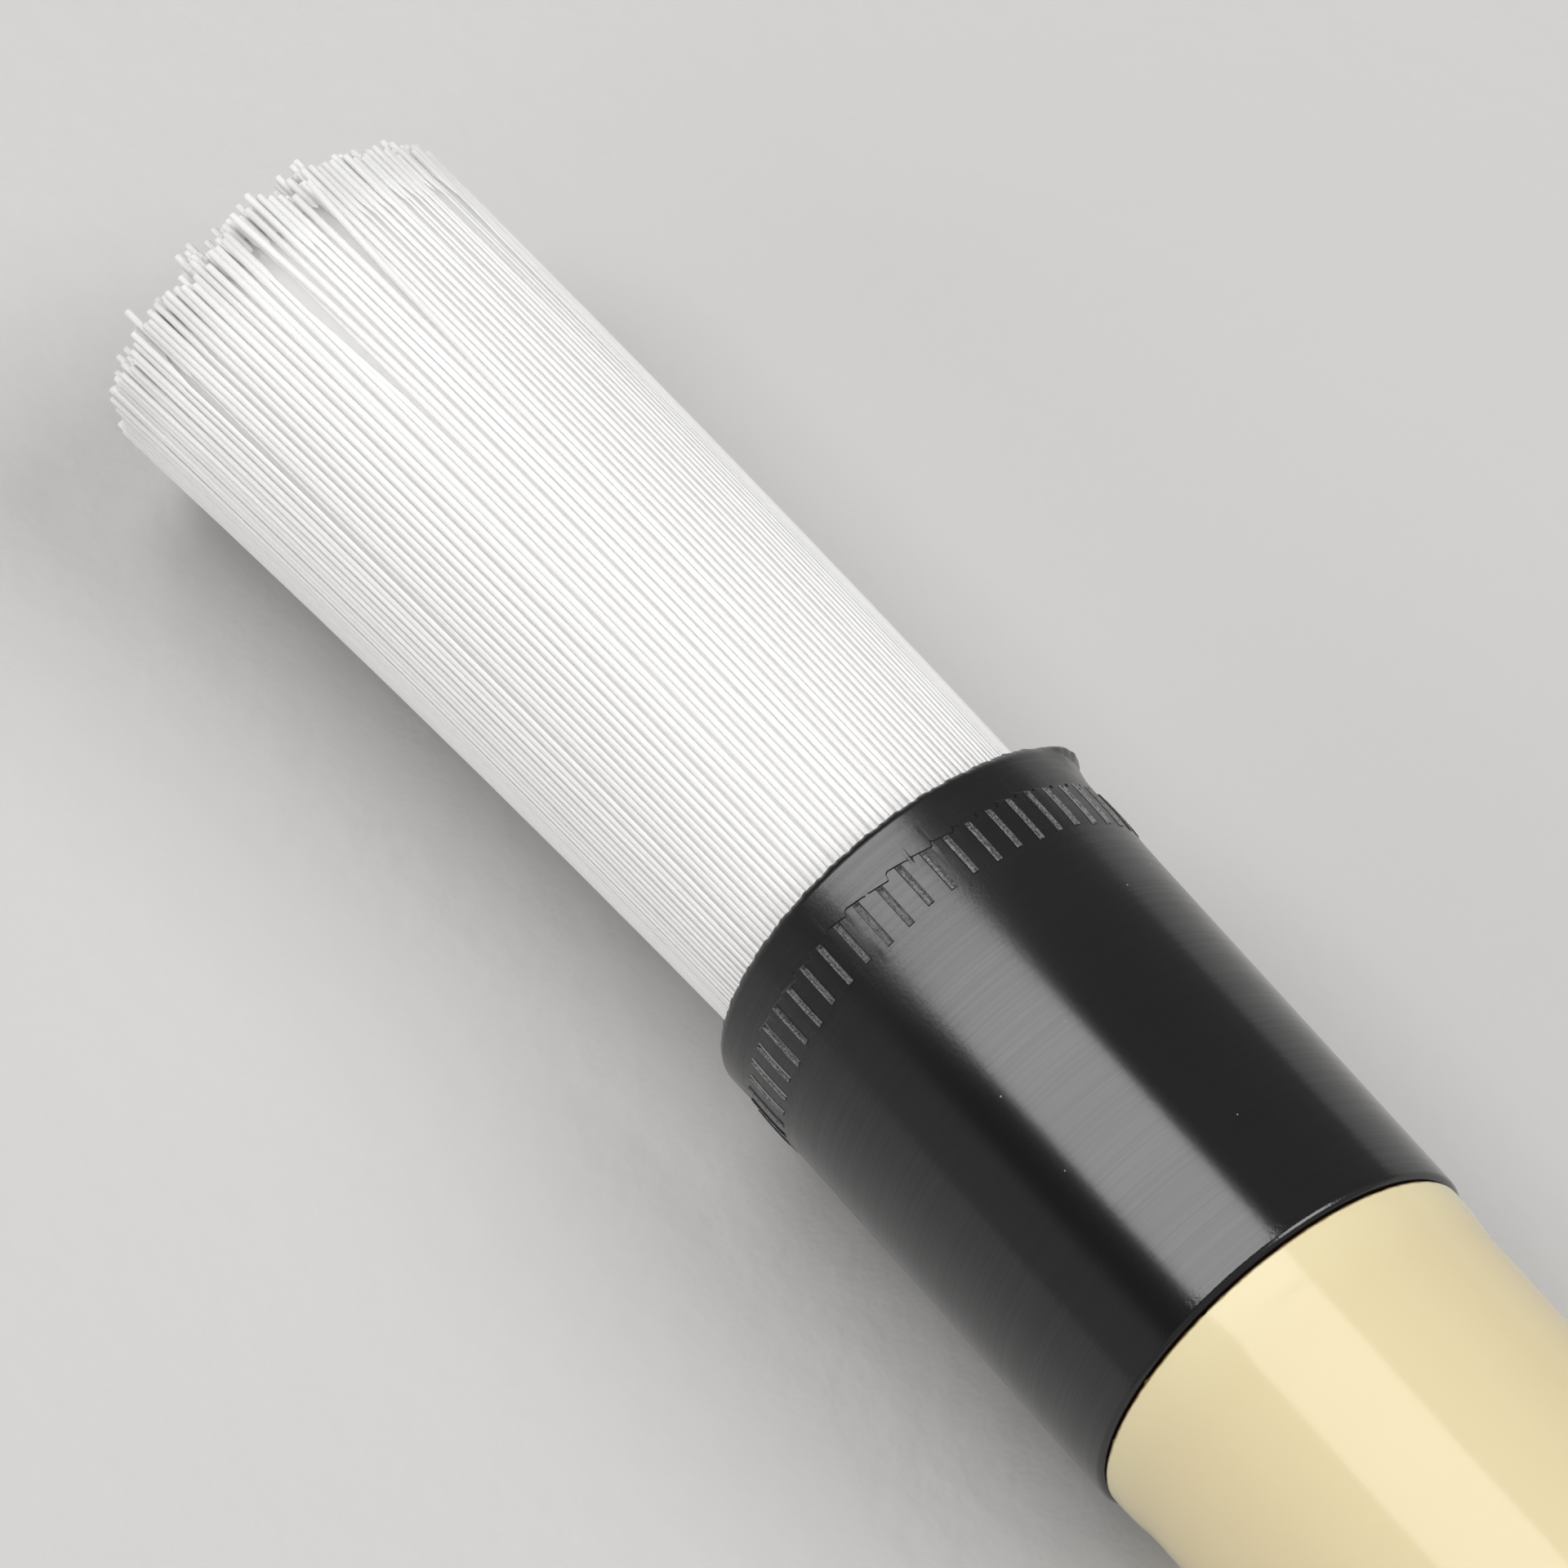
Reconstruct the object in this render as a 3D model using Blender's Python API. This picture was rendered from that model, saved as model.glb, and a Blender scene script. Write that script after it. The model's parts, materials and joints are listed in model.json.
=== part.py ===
"""A pen-shaped lens cleaning brush, lying along X on the plane Z = 0, in metres.

At -X is a round tuft of clear nylon filament in a black ferrule, whose mouth is roll-crimped round the tuft. The cream
barrel plugs into the ferrule. At +X a holder carries a soft cleaning pad on a rubber neck, under a pull-off cap.
The origin is on the table, under the middle of the pen. Every round piece is turned about the pen's axis.
"""

import math

import bmesh
import bpy
from mathutils import Matrix, Vector

MM = 0.001

# Every turned piece has this many flats. They touch its true radius, and one of them faces straight down.
FLATS = 26
CORNER_REACH = 1 / math.cos(math.pi / FLATS)
WELD = 1e-7

# Clearances
SEAT_GAP = 0.10 * MM  # between faces that butt together
FIT_GAP = 0.10 * MM  # round a glued or pressed spigot, on the radius
CAP_CLEARANCE = 0.15 * MM  # round the spigot that the cap slides over
SEAL_GAP = 0.05 * MM  # round the seal ring, inside and outside
TILT_CLEARANCE = 0.30 * MM  # between the tilted head and the cap round it

# The ferrule and the cap share this radius, so the pen lies level on the two.
PEN_RADIUS = 6.0 * MM

# Ferrule: a black plastic tube
FERRULE_WALL = 0.70 * MM
FERRULE_LENGTH = 15.8 * MM
FERRULE_EDGE_RADIUS = 0.30 * MM
CRIMP_COUNT = 2 * FLATS
CRIMP_FROM_MOUTH = 1.25 * MM
CRIMP_LENGTH = 1.72 * MM
CRIMP_WIDTH = 0.15 * MM
CRIMP_DEPTH = 0.10 * MM

# Tuft of nylon filament
TUFT_FREE_LENGTH = 25.2 * MM
TUFT_ROOT_DEPTH = 7.0 * MM
TUFT_FLARE = 0.43 * MM  # how much the radius grows from the mouth to the trim
TUFT_DOME = 0.90 * MM
TUFT_SWEEP_SLOPE = 0.026  # the tuft leaves the mouth leaning this much towards -Y
TUFT_SWEEP_CURVE = 0.86  # and its lean grows along it, in units of 1 / metre
RESIN_DEPTH = 2.6 * MM

# Barrel: the cream handle
BARREL_LENGTH = 78.0 * MM
BEAD_STEP = 0.14 * MM  # from the ferrule's side down to the bead
BEAD_LENGTH = 1.1 * MM
BEAD_EDGE_RADIUS = 0.30 * MM
SHOULDER_STEP = 0.10 * MM  # from the bead down to the barrel's side
BELLY_RISE = 0.14 * MM
BARREL_WALL = 1.50 * MM
TENON_CHAMFER = 0.40 * MM

# Tip holder, seal ring, neck, head and pad
HOLDER_PLUG_LENGTH = 9.0 * MM
FLANGE_THICKNESS = 1.2 * MM
SPIGOT_LENGTH = 7.0 * MM
SPIGOT_CHAMFER = 0.35 * MM
SEAL_FROM_FLANGE = 2.6 * MM
SEAL_SECTION_RADIUS = 0.45 * MM
NECK_STEM_RADIUS = 1.60 * MM
NECK_WAIST_RADIUS = 1.15 * MM
NECK_FREE_LENGTH = 5.0 * MM
NECK_BASE_DEPTH = 3.4 * MM
NECK_HEAD_DEPTH = 1.9 * MM
HEAD_BOSS_WALL = 0.70 * MM
HEAD_BOSS_LENGTH = 2.2 * MM
HEAD_THICKNESS = 1.2 * MM
PAD_THICKNESS = 0.9 * MM
PAD_INSET = 0.10 * MM
PAD_EDGE_RADIUS = 0.30 * MM
PAD_DISH = 0.20 * MM
HEAD_TILT = math.radians(10)

# Cap: a black tube closed by an end plug, with a charging pad inside
CAP_WALL = 0.90 * MM
CAP_EDGE_RADIUS = 0.30 * MM
CHARGER_THICKNESS = 3.0 * MM
PLUG_DEPTH = 3.0 * MM
PLUG_HEAD_THICKNESS = 1.5 * MM
PLUG_EDGE_RADIUS = 0.60 * MM

# What fits together takes its size from its partner
FERRULE_BORE = PEN_RADIUS - FERRULE_WALL
TENON_RADIUS = FERRULE_BORE - FIT_GAP
TENON_LENGTH = FERRULE_LENGTH - TUFT_ROOT_DEPTH - RESIN_DEPTH - SEAT_GAP
BEAD_RADIUS = PEN_RADIUS - BEAD_STEP
BARREL_RADIUS = BEAD_RADIUS - SHOULDER_STEP
BARREL_BORE = BARREL_RADIUS - BARREL_WALL
CAP_BORE = PEN_RADIUS - CAP_WALL
SPIGOT_RADIUS = CAP_BORE - CAP_CLEARANCE
SEAL_RING_RADIUS = CAP_BORE - SEAL_GAP - SEAL_SECTION_RADIUS
SEAL_GROOVE_FLOOR = SEAL_RING_RADIUS - SEAL_SECTION_RADIUS - SEAL_GAP
SEAL_GROOVE_HALF_WIDTH = SEAL_SECTION_RADIUS + FIT_GAP
SOCKET_RADIUS = NECK_STEM_RADIUS + FIT_GAP
PIVOT_TO_PAD = NECK_FREE_LENGTH / 2 + HEAD_BOSS_LENGTH + HEAD_THICKNESS + SEAT_GAP
PIVOT_TO_FACE = PIVOT_TO_PAD + PAD_THICKNESS
HEAD_RADIUS = CAP_BORE - TILT_CLEARANCE - PIVOT_TO_FACE * math.sin(HEAD_TILT)
PAD_RADIUS = HEAD_RADIUS - PAD_INSET
TILTED_FACE_REACH = PIVOT_TO_FACE * math.cos(HEAD_TILT) + PAD_RADIUS * math.sin(HEAD_TILT)
PIVOT_TO_CHARGER = TILTED_FACE_REACH + TILT_CLEARANCE
FLANGE_TO_PIVOT = SPIGOT_LENGTH + NECK_FREE_LENGTH / 2
CAP_TUBE_LENGTH = FLANGE_TO_PIVOT + PIVOT_TO_CHARGER + CHARGER_THICKNESS + SEAT_GAP + PLUG_DEPTH
CAP_LENGTH = CAP_TUBE_LENGTH + SEAT_GAP + PLUG_HEAD_THICKNESS

# Places along the pen, from the trimmed end of the tuft to the end of the cap
OVERALL_LENGTH = (
    TUFT_FREE_LENGTH + FERRULE_LENGTH + BARREL_LENGTH + FLANGE_THICKNESS + CAP_LENGTH + 3 * SEAT_GAP
)
MOUTH_X = TUFT_FREE_LENGTH - OVERALL_LENGTH / 2
BARREL_X = MOUTH_X + FERRULE_LENGTH + SEAT_GAP
FLANGE_X = BARREL_X + BARREL_LENGTH + SEAT_GAP
SPIGOT_X = FLANGE_X + FLANGE_THICKNESS
CAP_X = SPIGOT_X + SEAT_GAP
PIVOT_X = SPIGOT_X + FLANGE_TO_PIVOT

EDGE_STEPS = 3
BARREL_STATIONS = 10
NECK_STATIONS = 6
TUFT_STATIONS = 6
DOME_STATIONS = 3
SEAL_SECTION_SIDES = 8


def clear_scene():
    for obj in list(bpy.data.objects):
        bpy.data.objects.remove(obj)


def material(name, colour, roughness):
    """A plain plastic-like finish with no metal in it."""
    made = bpy.data.materials.new(name)
    made.use_nodes = True
    shader = made.node_tree.nodes["Principled BSDF"]
    shader.inputs["Base Color"].default_value = (*colour, 1)
    shader.inputs["Roughness"].default_value = roughness
    shader.inputs["Metallic"].default_value = 0
    return made


def guide(name, x):
    """An empty on the pen's axis, which places the pieces parented to it."""
    empty = bpy.data.objects.new(name, None)
    empty.location = (x, 0, PEN_RADIUS)
    empty.empty_display_size = PEN_RADIUS
    bpy.context.scene.collection.objects.link(empty)
    return empty


def rounded(x, radius, edge, towards_x, steps=EDGE_STEPS):
    """Outline points of a rounded outer edge, from the end face at x to the side at radius."""
    turns = [step / steps * math.pi / 2 for step in range(steps + 1)]
    return [
        (x + towards_x * edge * (1 - math.sin(a)), radius - edge * (1 - math.cos(a)))
        for a in reversed(turns)
    ]


def turned(outline, ring=False):
    """A mesh turned about X from (x, radius) points. A ring's outline closes on itself, clear of the axis."""
    shape = bmesh.new()
    start = Matrix.Rotation(math.pi / FLATS, 3, "X") @ Vector((0, 0, -CORNER_REACH))
    corners = [shape.verts.new(Vector((x, 0, 0)) + start * radius) for x, radius in outline]
    ends = corners[1:] + corners[:1] if ring else corners[1:]
    edges = [shape.edges.new(pair) for pair in zip(corners, ends)]
    bmesh.ops.spin(
        shape, geom=corners + edges, axis=(1, 0, 0), cent=(0, 0, 0), angle=2 * math.pi, steps=FLATS
    )
    bmesh.ops.remove_doubles(shape, verts=shape.verts, dist=WELD)
    bmesh.ops.recalc_face_normals(shape, faces=shape.faces)
    return shape


def node(name, shape, parent, x=0.0, finish=None):
    """Makes the named object of a finished shape, at x on the axis of its parent."""
    mesh = bpy.data.meshes.new(name)
    shape.to_mesh(mesh)
    shape.free()
    mesh.shade_smooth()
    mesh.set_sharp_from_angle(angle=math.radians(35))
    obj = bpy.data.objects.new(name, mesh)
    obj.location.x = x
    obj.parent = parent
    if finish:
        mesh.materials.append(finish)
    bpy.context.scene.collection.objects.link(obj)
    return obj


def lean(x):
    """How far the tuft's middle stands off the axis, x metres in front of the mouth."""
    return TUFT_SWEEP_SLOPE * x + TUFT_SWEEP_CURVE * x * x


def make_tuft(parent, nylon):
    """The filament bundle: a round root in the ferrule, then a flared, leaning brush with a domed trim."""
    root_radius = FERRULE_BORE - FIT_GAP
    trim_radius = root_radius + TUFT_FLARE
    trim_x = TUFT_DOME - TUFT_FREE_LENGTH
    outline = [(TUFT_ROOT_DEPTH, 0), (TUFT_ROOT_DEPTH, root_radius)]
    for step in range(TUFT_STATIONS + 1):
        share = step / TUFT_STATIONS
        outline.append((share * trim_x, root_radius + share * TUFT_FLARE))
    for step in range(1, DOME_STATIONS + 1):
        turn = step / DOME_STATIONS * math.pi / 2
        outline.append((trim_x - TUFT_DOME * math.sin(turn), trim_radius * math.cos(turn)))
    shape = turned(outline)
    for vert in shape.verts:
        vert.co.y -= lean(max(0.0, -vert.co.x))
    node("bristle_tuft", shape, parent, MOUTH_X, nylon)


def make_resin_plug(parent, resin):
    """The set resin that holds the filament roots, right behind them."""
    radius = FERRULE_BORE - FIT_GAP
    front = TUFT_ROOT_DEPTH + SEAT_GAP
    rear = TUFT_ROOT_DEPTH + RESIN_DEPTH - SEAT_GAP
    outline = [(front, 0), (front, radius), (rear, radius), (rear, 0)]
    node("resin_plug", turned(outline), parent, MOUTH_X, resin)


def make_crimp_cutter(parent):
    """The roller's marks: short axial grooves, spaced evenly round the ferrule."""
    shape = bmesh.new()
    over = PEN_RADIUS * CORNER_REACH + CRIMP_DEPTH - (PEN_RADIUS - CRIMP_DEPTH)
    middle = Vector((CRIMP_FROM_MOUTH + CRIMP_LENGTH / 2, 0, -(PEN_RADIUS - CRIMP_DEPTH + over / 2)))
    block = Matrix.Translation(middle) @ Matrix.Diagonal((CRIMP_LENGTH, CRIMP_WIDTH, over, 1))
    for index in range(CRIMP_COUNT):
        turn = Matrix.Rotation((index + 0.5) / CRIMP_COUNT * 2 * math.pi, 4, "X")
        bmesh.ops.create_cube(shape, size=1, matrix=turn @ block)
    cutter = node("crimp_cutter", shape, parent, MOUTH_X)
    cutter.hide_render = True
    cutter.display_type = "WIRE"
    return cutter


def make_ferrule(parent, black):
    """The tube that holds the tuft in front and the barrel's tenon behind."""
    rear = rounded(FERRULE_LENGTH, PEN_RADIUS, FERRULE_EDGE_RADIUS, -1)
    outline = [(0, FERRULE_BORE), (0, PEN_RADIUS), *reversed(rear), (FERRULE_LENGTH, FERRULE_BORE)]
    ferrule = node("ferrule", turned(outline, ring=True), parent, MOUTH_X, black)
    cut = ferrule.modifiers.new("crimp", "BOOLEAN")
    cut.operation = "DIFFERENCE"
    cut.solver = "EXACT"
    cut.object = make_crimp_cutter(parent)


def make_barrel(parent, cream):
    """The hollow handle: a closed tenon in the ferrule, a bead at the shoulder, and a slight belly."""
    closed_end = BARREL_WALL - TENON_LENGTH
    outline = [
        (-TENON_LENGTH, 0),
        (-TENON_LENGTH, TENON_RADIUS - TENON_CHAMFER),
        (TENON_CHAMFER - TENON_LENGTH, TENON_RADIUS),
        (0, TENON_RADIUS),
        *rounded(0, BEAD_RADIUS, BEAD_EDGE_RADIUS, 1),
        (BEAD_LENGTH / 2, BEAD_RADIUS),
    ]
    side = BARREL_LENGTH - BEAD_LENGTH - BEAD_EDGE_RADIUS
    for step in range(BARREL_STATIONS + 1):
        share = step / BARREL_STATIONS
        outline.append((BEAD_LENGTH + share * side, BARREL_RADIUS + BELLY_RISE * math.sin(share * math.pi)))
    outline += rounded(BARREL_LENGTH, BARREL_RADIUS, BEAD_EDGE_RADIUS, -1)[-2::-1]
    outline += [(BARREL_LENGTH, BARREL_BORE), (closed_end, BARREL_BORE), (closed_end, 0)]
    node("barrel", turned(outline), parent, BARREL_X, cream)


def make_tip_holder(parent, black):
    """The plug in the barrel's rear end, with the flange that stops the cap and the spigot it slides over."""
    spigot_end = FLANGE_THICKNESS + SPIGOT_LENGTH
    seal = FLANGE_THICKNESS + SEAL_FROM_FLANGE
    plug_radius = BARREL_BORE - FIT_GAP
    outline = [
        (-HOLDER_PLUG_LENGTH, 0),
        (-HOLDER_PLUG_LENGTH, plug_radius - SPIGOT_CHAMFER),
        (SPIGOT_CHAMFER - HOLDER_PLUG_LENGTH, plug_radius),
        (0, plug_radius),
        (0, BARREL_RADIUS),
        (FLANGE_THICKNESS, BARREL_RADIUS),
        (FLANGE_THICKNESS, SPIGOT_RADIUS),
        (seal - SEAL_GROOVE_HALF_WIDTH, SPIGOT_RADIUS),
        (seal - SEAL_GROOVE_HALF_WIDTH, SEAL_GROOVE_FLOOR),
        (seal + SEAL_GROOVE_HALF_WIDTH, SEAL_GROOVE_FLOOR),
        (seal + SEAL_GROOVE_HALF_WIDTH, SPIGOT_RADIUS),
        (spigot_end - SPIGOT_CHAMFER, SPIGOT_RADIUS),
        (spigot_end, SPIGOT_RADIUS - SPIGOT_CHAMFER),
        (spigot_end, SOCKET_RADIUS),
        (spigot_end - NECK_BASE_DEPTH - FIT_GAP, SOCKET_RADIUS),
        (spigot_end - NECK_BASE_DEPTH - FIT_GAP, 0),
    ]
    node("tip_holder", turned(outline), parent, FLANGE_X, black)


def make_seal_ring(parent, rubber):
    """The ring whose grip holds the cap on."""
    outline = []
    for side in range(SEAL_SECTION_SIDES):
        turn = side / SEAL_SECTION_SIDES * 2 * math.pi
        x = SEAL_SECTION_RADIUS * math.cos(turn)
        outline.append((x, SEAL_RING_RADIUS + SEAL_SECTION_RADIUS * math.sin(turn)))
    node("cap_seal_ring", turned(outline, ring=True), parent, SPIGOT_X + SEAL_FROM_FLANGE, rubber)


def make_neck(parent, rubber):
    """The rubber neck, thinnest at the middle of its free length, where the head tilts."""
    half = NECK_FREE_LENGTH / 2
    outline = [(-half - NECK_BASE_DEPTH, 0), (-half - NECK_BASE_DEPTH, NECK_STEM_RADIUS)]
    for step in range(NECK_STATIONS + 1):
        share = step / NECK_STATIONS
        waist = (NECK_STEM_RADIUS - NECK_WAIST_RADIUS) * math.sin(share * math.pi) ** 2
        outline.append(((2 * share - 1) * half, NECK_STEM_RADIUS - waist))
    outline += [(half + NECK_HEAD_DEPTH, NECK_STEM_RADIUS), (half + NECK_HEAD_DEPTH, 0)]
    node("tip_neck", turned(outline), parent, PIVOT_X, rubber)


def make_head(pivot, black):
    """The hard disc that backs the pad, with the boss that the neck is set in."""
    front = NECK_FREE_LENGTH / 2
    socket_end = front + NECK_HEAD_DEPTH + FIT_GAP
    disc_front = front + HEAD_BOSS_LENGTH
    disc_end = disc_front + HEAD_THICKNESS
    boss_radius = SOCKET_RADIUS + HEAD_BOSS_WALL
    outline = [
        (socket_end, 0),
        (socket_end, SOCKET_RADIUS),
        (front, SOCKET_RADIUS),
        (front, boss_radius),
        (disc_front, boss_radius),
        (disc_front, HEAD_RADIUS),
        (disc_end, HEAD_RADIUS),
        (disc_end, 0),
    ]
    node("tip_head", turned(outline), pivot, 0, black)


def make_pad(pivot, suede):
    """The cleaning pad on the head: a soft disc with a slightly dished face."""
    rim = rounded(PIVOT_TO_FACE, PAD_RADIUS, PAD_EDGE_RADIUS, -1)
    outline = [(PIVOT_TO_PAD, 0), (PIVOT_TO_PAD, PAD_RADIUS), *reversed(rim)]
    outline.append((PIVOT_TO_FACE - PAD_DISH, 0))
    node("cleaning_pad", turned(outline), pivot, 0, suede)


def make_cap_tube(cap, black):
    """The tube of the cap. It slides over the spigot and stops against the flange."""
    mouth = rounded(0, PEN_RADIUS, CAP_EDGE_RADIUS, 1)
    outline = [(0, CAP_BORE), *mouth, (CAP_TUBE_LENGTH, PEN_RADIUS), (CAP_TUBE_LENGTH, CAP_BORE)]
    node("cap_tube", turned(outline, ring=True), cap, 0, black)


def make_cap_end_plug(cap, black):
    """The plug that closes the cap. The pen can stand on its flat end."""
    front = CAP_TUBE_LENGTH - PLUG_DEPTH
    head = CAP_TUBE_LENGTH + SEAT_GAP
    radius = CAP_BORE - FIT_GAP
    edge = rounded(CAP_LENGTH, PEN_RADIUS, PLUG_EDGE_RADIUS, -1)
    outline = [(front, 0), (front, radius), (head, radius), (head, PEN_RADIUS), *reversed(edge)]
    node("cap_end_plug", turned([*outline, (CAP_LENGTH, 0)]), cap, 0, black)


def make_charging_pad(cap, felt):
    """The felt in the cap's end, filled with dry cleaning compound for the pad."""
    rear = CAP_TUBE_LENGTH - PLUG_DEPTH - SEAT_GAP
    front = rear - CHARGER_THICKNESS + SEAT_GAP
    radius = CAP_BORE - FIT_GAP
    outline = [(front, 0), (front, radius), (rear, radius), (rear, 0)]
    node("charging_pad", turned(outline), cap, 0, felt)


def main():
    clear_scene()
    black = material("black_plastic", (0.012, 0.012, 0.013), 0.28)
    cream = material("cream_plastic", (0.80, 0.70, 0.44), 0.22)
    nylon = material("clear_nylon", (0.90, 0.90, 0.89), 0.30)
    resin = material("amber_resin", (0.55, 0.36, 0.14), 0.25)
    rubber = material("black_rubber", (0.03, 0.03, 0.03), 0.60)
    suede = material("grey_suede", (0.10, 0.10, 0.11), 0.90)
    felt = material("compound_felt", (0.05, 0.05, 0.05), 0.95)

    pen = guide("pen_axis", 0)
    pivot = guide("tip_tilt_pivot", PIVOT_X)
    cap = guide("cap_pull_seat", CAP_X)

    make_tuft(pen, nylon)
    make_resin_plug(pen, resin)
    make_ferrule(pen, black)
    make_barrel(pen, cream)
    make_tip_holder(pen, black)
    make_seal_ring(pen, rubber)
    make_neck(pen, rubber)
    make_head(pivot, black)
    make_pad(pivot, suede)
    make_cap_tube(cap, black)
    make_cap_end_plug(cap, black)
    make_charging_pad(cap, felt)


main()
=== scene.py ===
"""The looks of a pen-shaped lens cleaning brush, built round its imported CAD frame, in metres.

The pen lies along X on the plane Z = 0, with its nylon brush at -X and its capped cleaning tip at +X.
Each sub-assembly is a class that models its pieces and dresses them in a finish.
"""

import json
import logging
import math
import random
from dataclasses import dataclass
from enum import Enum
from typing import Callable, Optional, Sequence, Union

import bpy
import numpy as np
from mathutils import Matrix, Vector, noise

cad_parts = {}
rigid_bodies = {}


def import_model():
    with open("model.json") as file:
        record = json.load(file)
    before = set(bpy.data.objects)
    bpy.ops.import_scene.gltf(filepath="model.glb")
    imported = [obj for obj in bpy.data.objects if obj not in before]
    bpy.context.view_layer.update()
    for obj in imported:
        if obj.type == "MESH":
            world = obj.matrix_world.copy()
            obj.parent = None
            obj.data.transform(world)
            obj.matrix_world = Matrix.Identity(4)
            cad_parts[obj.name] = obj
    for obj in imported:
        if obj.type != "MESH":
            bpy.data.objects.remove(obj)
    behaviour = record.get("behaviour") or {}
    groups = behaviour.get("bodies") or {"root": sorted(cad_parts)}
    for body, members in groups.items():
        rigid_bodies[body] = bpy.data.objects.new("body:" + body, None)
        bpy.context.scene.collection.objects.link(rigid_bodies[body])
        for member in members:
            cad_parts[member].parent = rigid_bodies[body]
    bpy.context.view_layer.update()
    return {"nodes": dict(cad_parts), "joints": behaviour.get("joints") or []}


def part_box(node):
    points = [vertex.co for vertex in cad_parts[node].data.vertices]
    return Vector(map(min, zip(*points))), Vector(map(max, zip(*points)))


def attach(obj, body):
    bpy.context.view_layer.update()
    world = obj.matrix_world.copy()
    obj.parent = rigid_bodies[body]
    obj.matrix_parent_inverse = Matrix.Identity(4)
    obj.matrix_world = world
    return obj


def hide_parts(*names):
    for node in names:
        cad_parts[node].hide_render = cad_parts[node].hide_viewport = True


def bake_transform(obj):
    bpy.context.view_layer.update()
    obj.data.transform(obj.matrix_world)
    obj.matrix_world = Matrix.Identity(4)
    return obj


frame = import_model()

MM = 0.001
WELD = 2e-7
FULL_TURN = 2 * math.pi

log = logging.getLogger("lens_pen")

Point = tuple[float, float]
Triple = tuple[float, float, float]
Colour = Triple
Value = Union["Wire", float, int, tuple]


class Body(Enum):
    """The bodies of the frame that pieces ride on."""

    PEN = "pen"
    TIP = "tip"
    CAP = "cap"


class Slot(Enum):
    """The record's material slots that modelled pieces take."""

    NYLON = "nylon_filament"
    FERRULE = "ferrule_black"
    CREAM = "cream_lacquer"
    CAP = "cap_black"
    RUBBER = "black_rubber"
    SUEDE = "pad_suede"
    FELT = "charging_felt"


class Shading(Enum):
    """How a piece's edges are shaded: the angle above which an edge stays sharp."""

    CRISP = math.radians(24)
    SOFT = math.radians(40)


# ---------------------------------------------------------------- shader graphs


class Wire:
    """An output socket of a shader graph. Arithmetic on it adds Math nodes."""

    def __init__(self, graph: "Graph", socket: bpy.types.NodeSocket) -> None:
        """Wraps a socket.

        Args:
            graph: The graph that the socket belongs to.
            socket: An output socket of one of its nodes.
        """
        self.graph = graph
        self.socket = socket

    def twin(self, output: Union[str, int]) -> "Wire":
        """Another output of the same node."""
        return Wire(self.graph, self.socket.node.outputs[output])

    def _math(self, operation: str, *values: Value) -> "Wire":
        """A Math node on these values, in order."""
        return self.graph.node("ShaderNodeMath", {"operation": operation}, dict(enumerate(values)))

    def __add__(self, other: Value) -> "Wire":
        """The sum."""
        return self._math("ADD", self, other)

    def __radd__(self, other: Value) -> "Wire":
        """The sum, reflected."""
        return self._math("ADD", other, self)

    def __sub__(self, other: Value) -> "Wire":
        """The difference."""
        return self._math("SUBTRACT", self, other)

    def __rsub__(self, other: Value) -> "Wire":
        """The difference, reflected."""
        return self._math("SUBTRACT", other, self)

    def __mul__(self, other: Value) -> "Wire":
        """The product."""
        return self._math("MULTIPLY", self, other)

    def __rmul__(self, other: Value) -> "Wire":
        """The product, reflected."""
        return self._math("MULTIPLY", other, self)

    def __truediv__(self, other: Value) -> "Wire":
        """The quotient."""
        return self._math("DIVIDE", self, other)

    def __rtruediv__(self, other: Value) -> "Wire":
        """The quotient, reflected."""
        return self._math("DIVIDE", other, self)

    def turn_from(self, other: "Wire") -> "Wire":
        """The angle whose tangent is this over other, in radians."""
        return self._math("ARCTAN2", self, other)

    def rises(self, low: float, high: float) -> "Wire":
        """A smooth step.

        Args:
            low: Where it is 0.
            high: Where it is 1. It may be the lower of the two, for a step that falls.

        Returns:
            A wire from 0 to 1.
        """
        settings = {"interpolation_type": "SMOOTHSTEP", "clamp": True}
        if low < high:
            return self.graph.node("ShaderNodeMapRange", settings, {0: self, 1: low, 2: high})
        return 1 - self.rises(high, low)

    def tints(self, low: Value, high: Value) -> "Wire":
        """A colour that goes from low to high as this wire goes from 0 to 1."""
        return self.graph.node(
            "ShaderNodeMix", {"data_type": "RGBA", "clamp_factor": True}, {0: self, 6: low, 7: high}, output=2
        )


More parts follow.
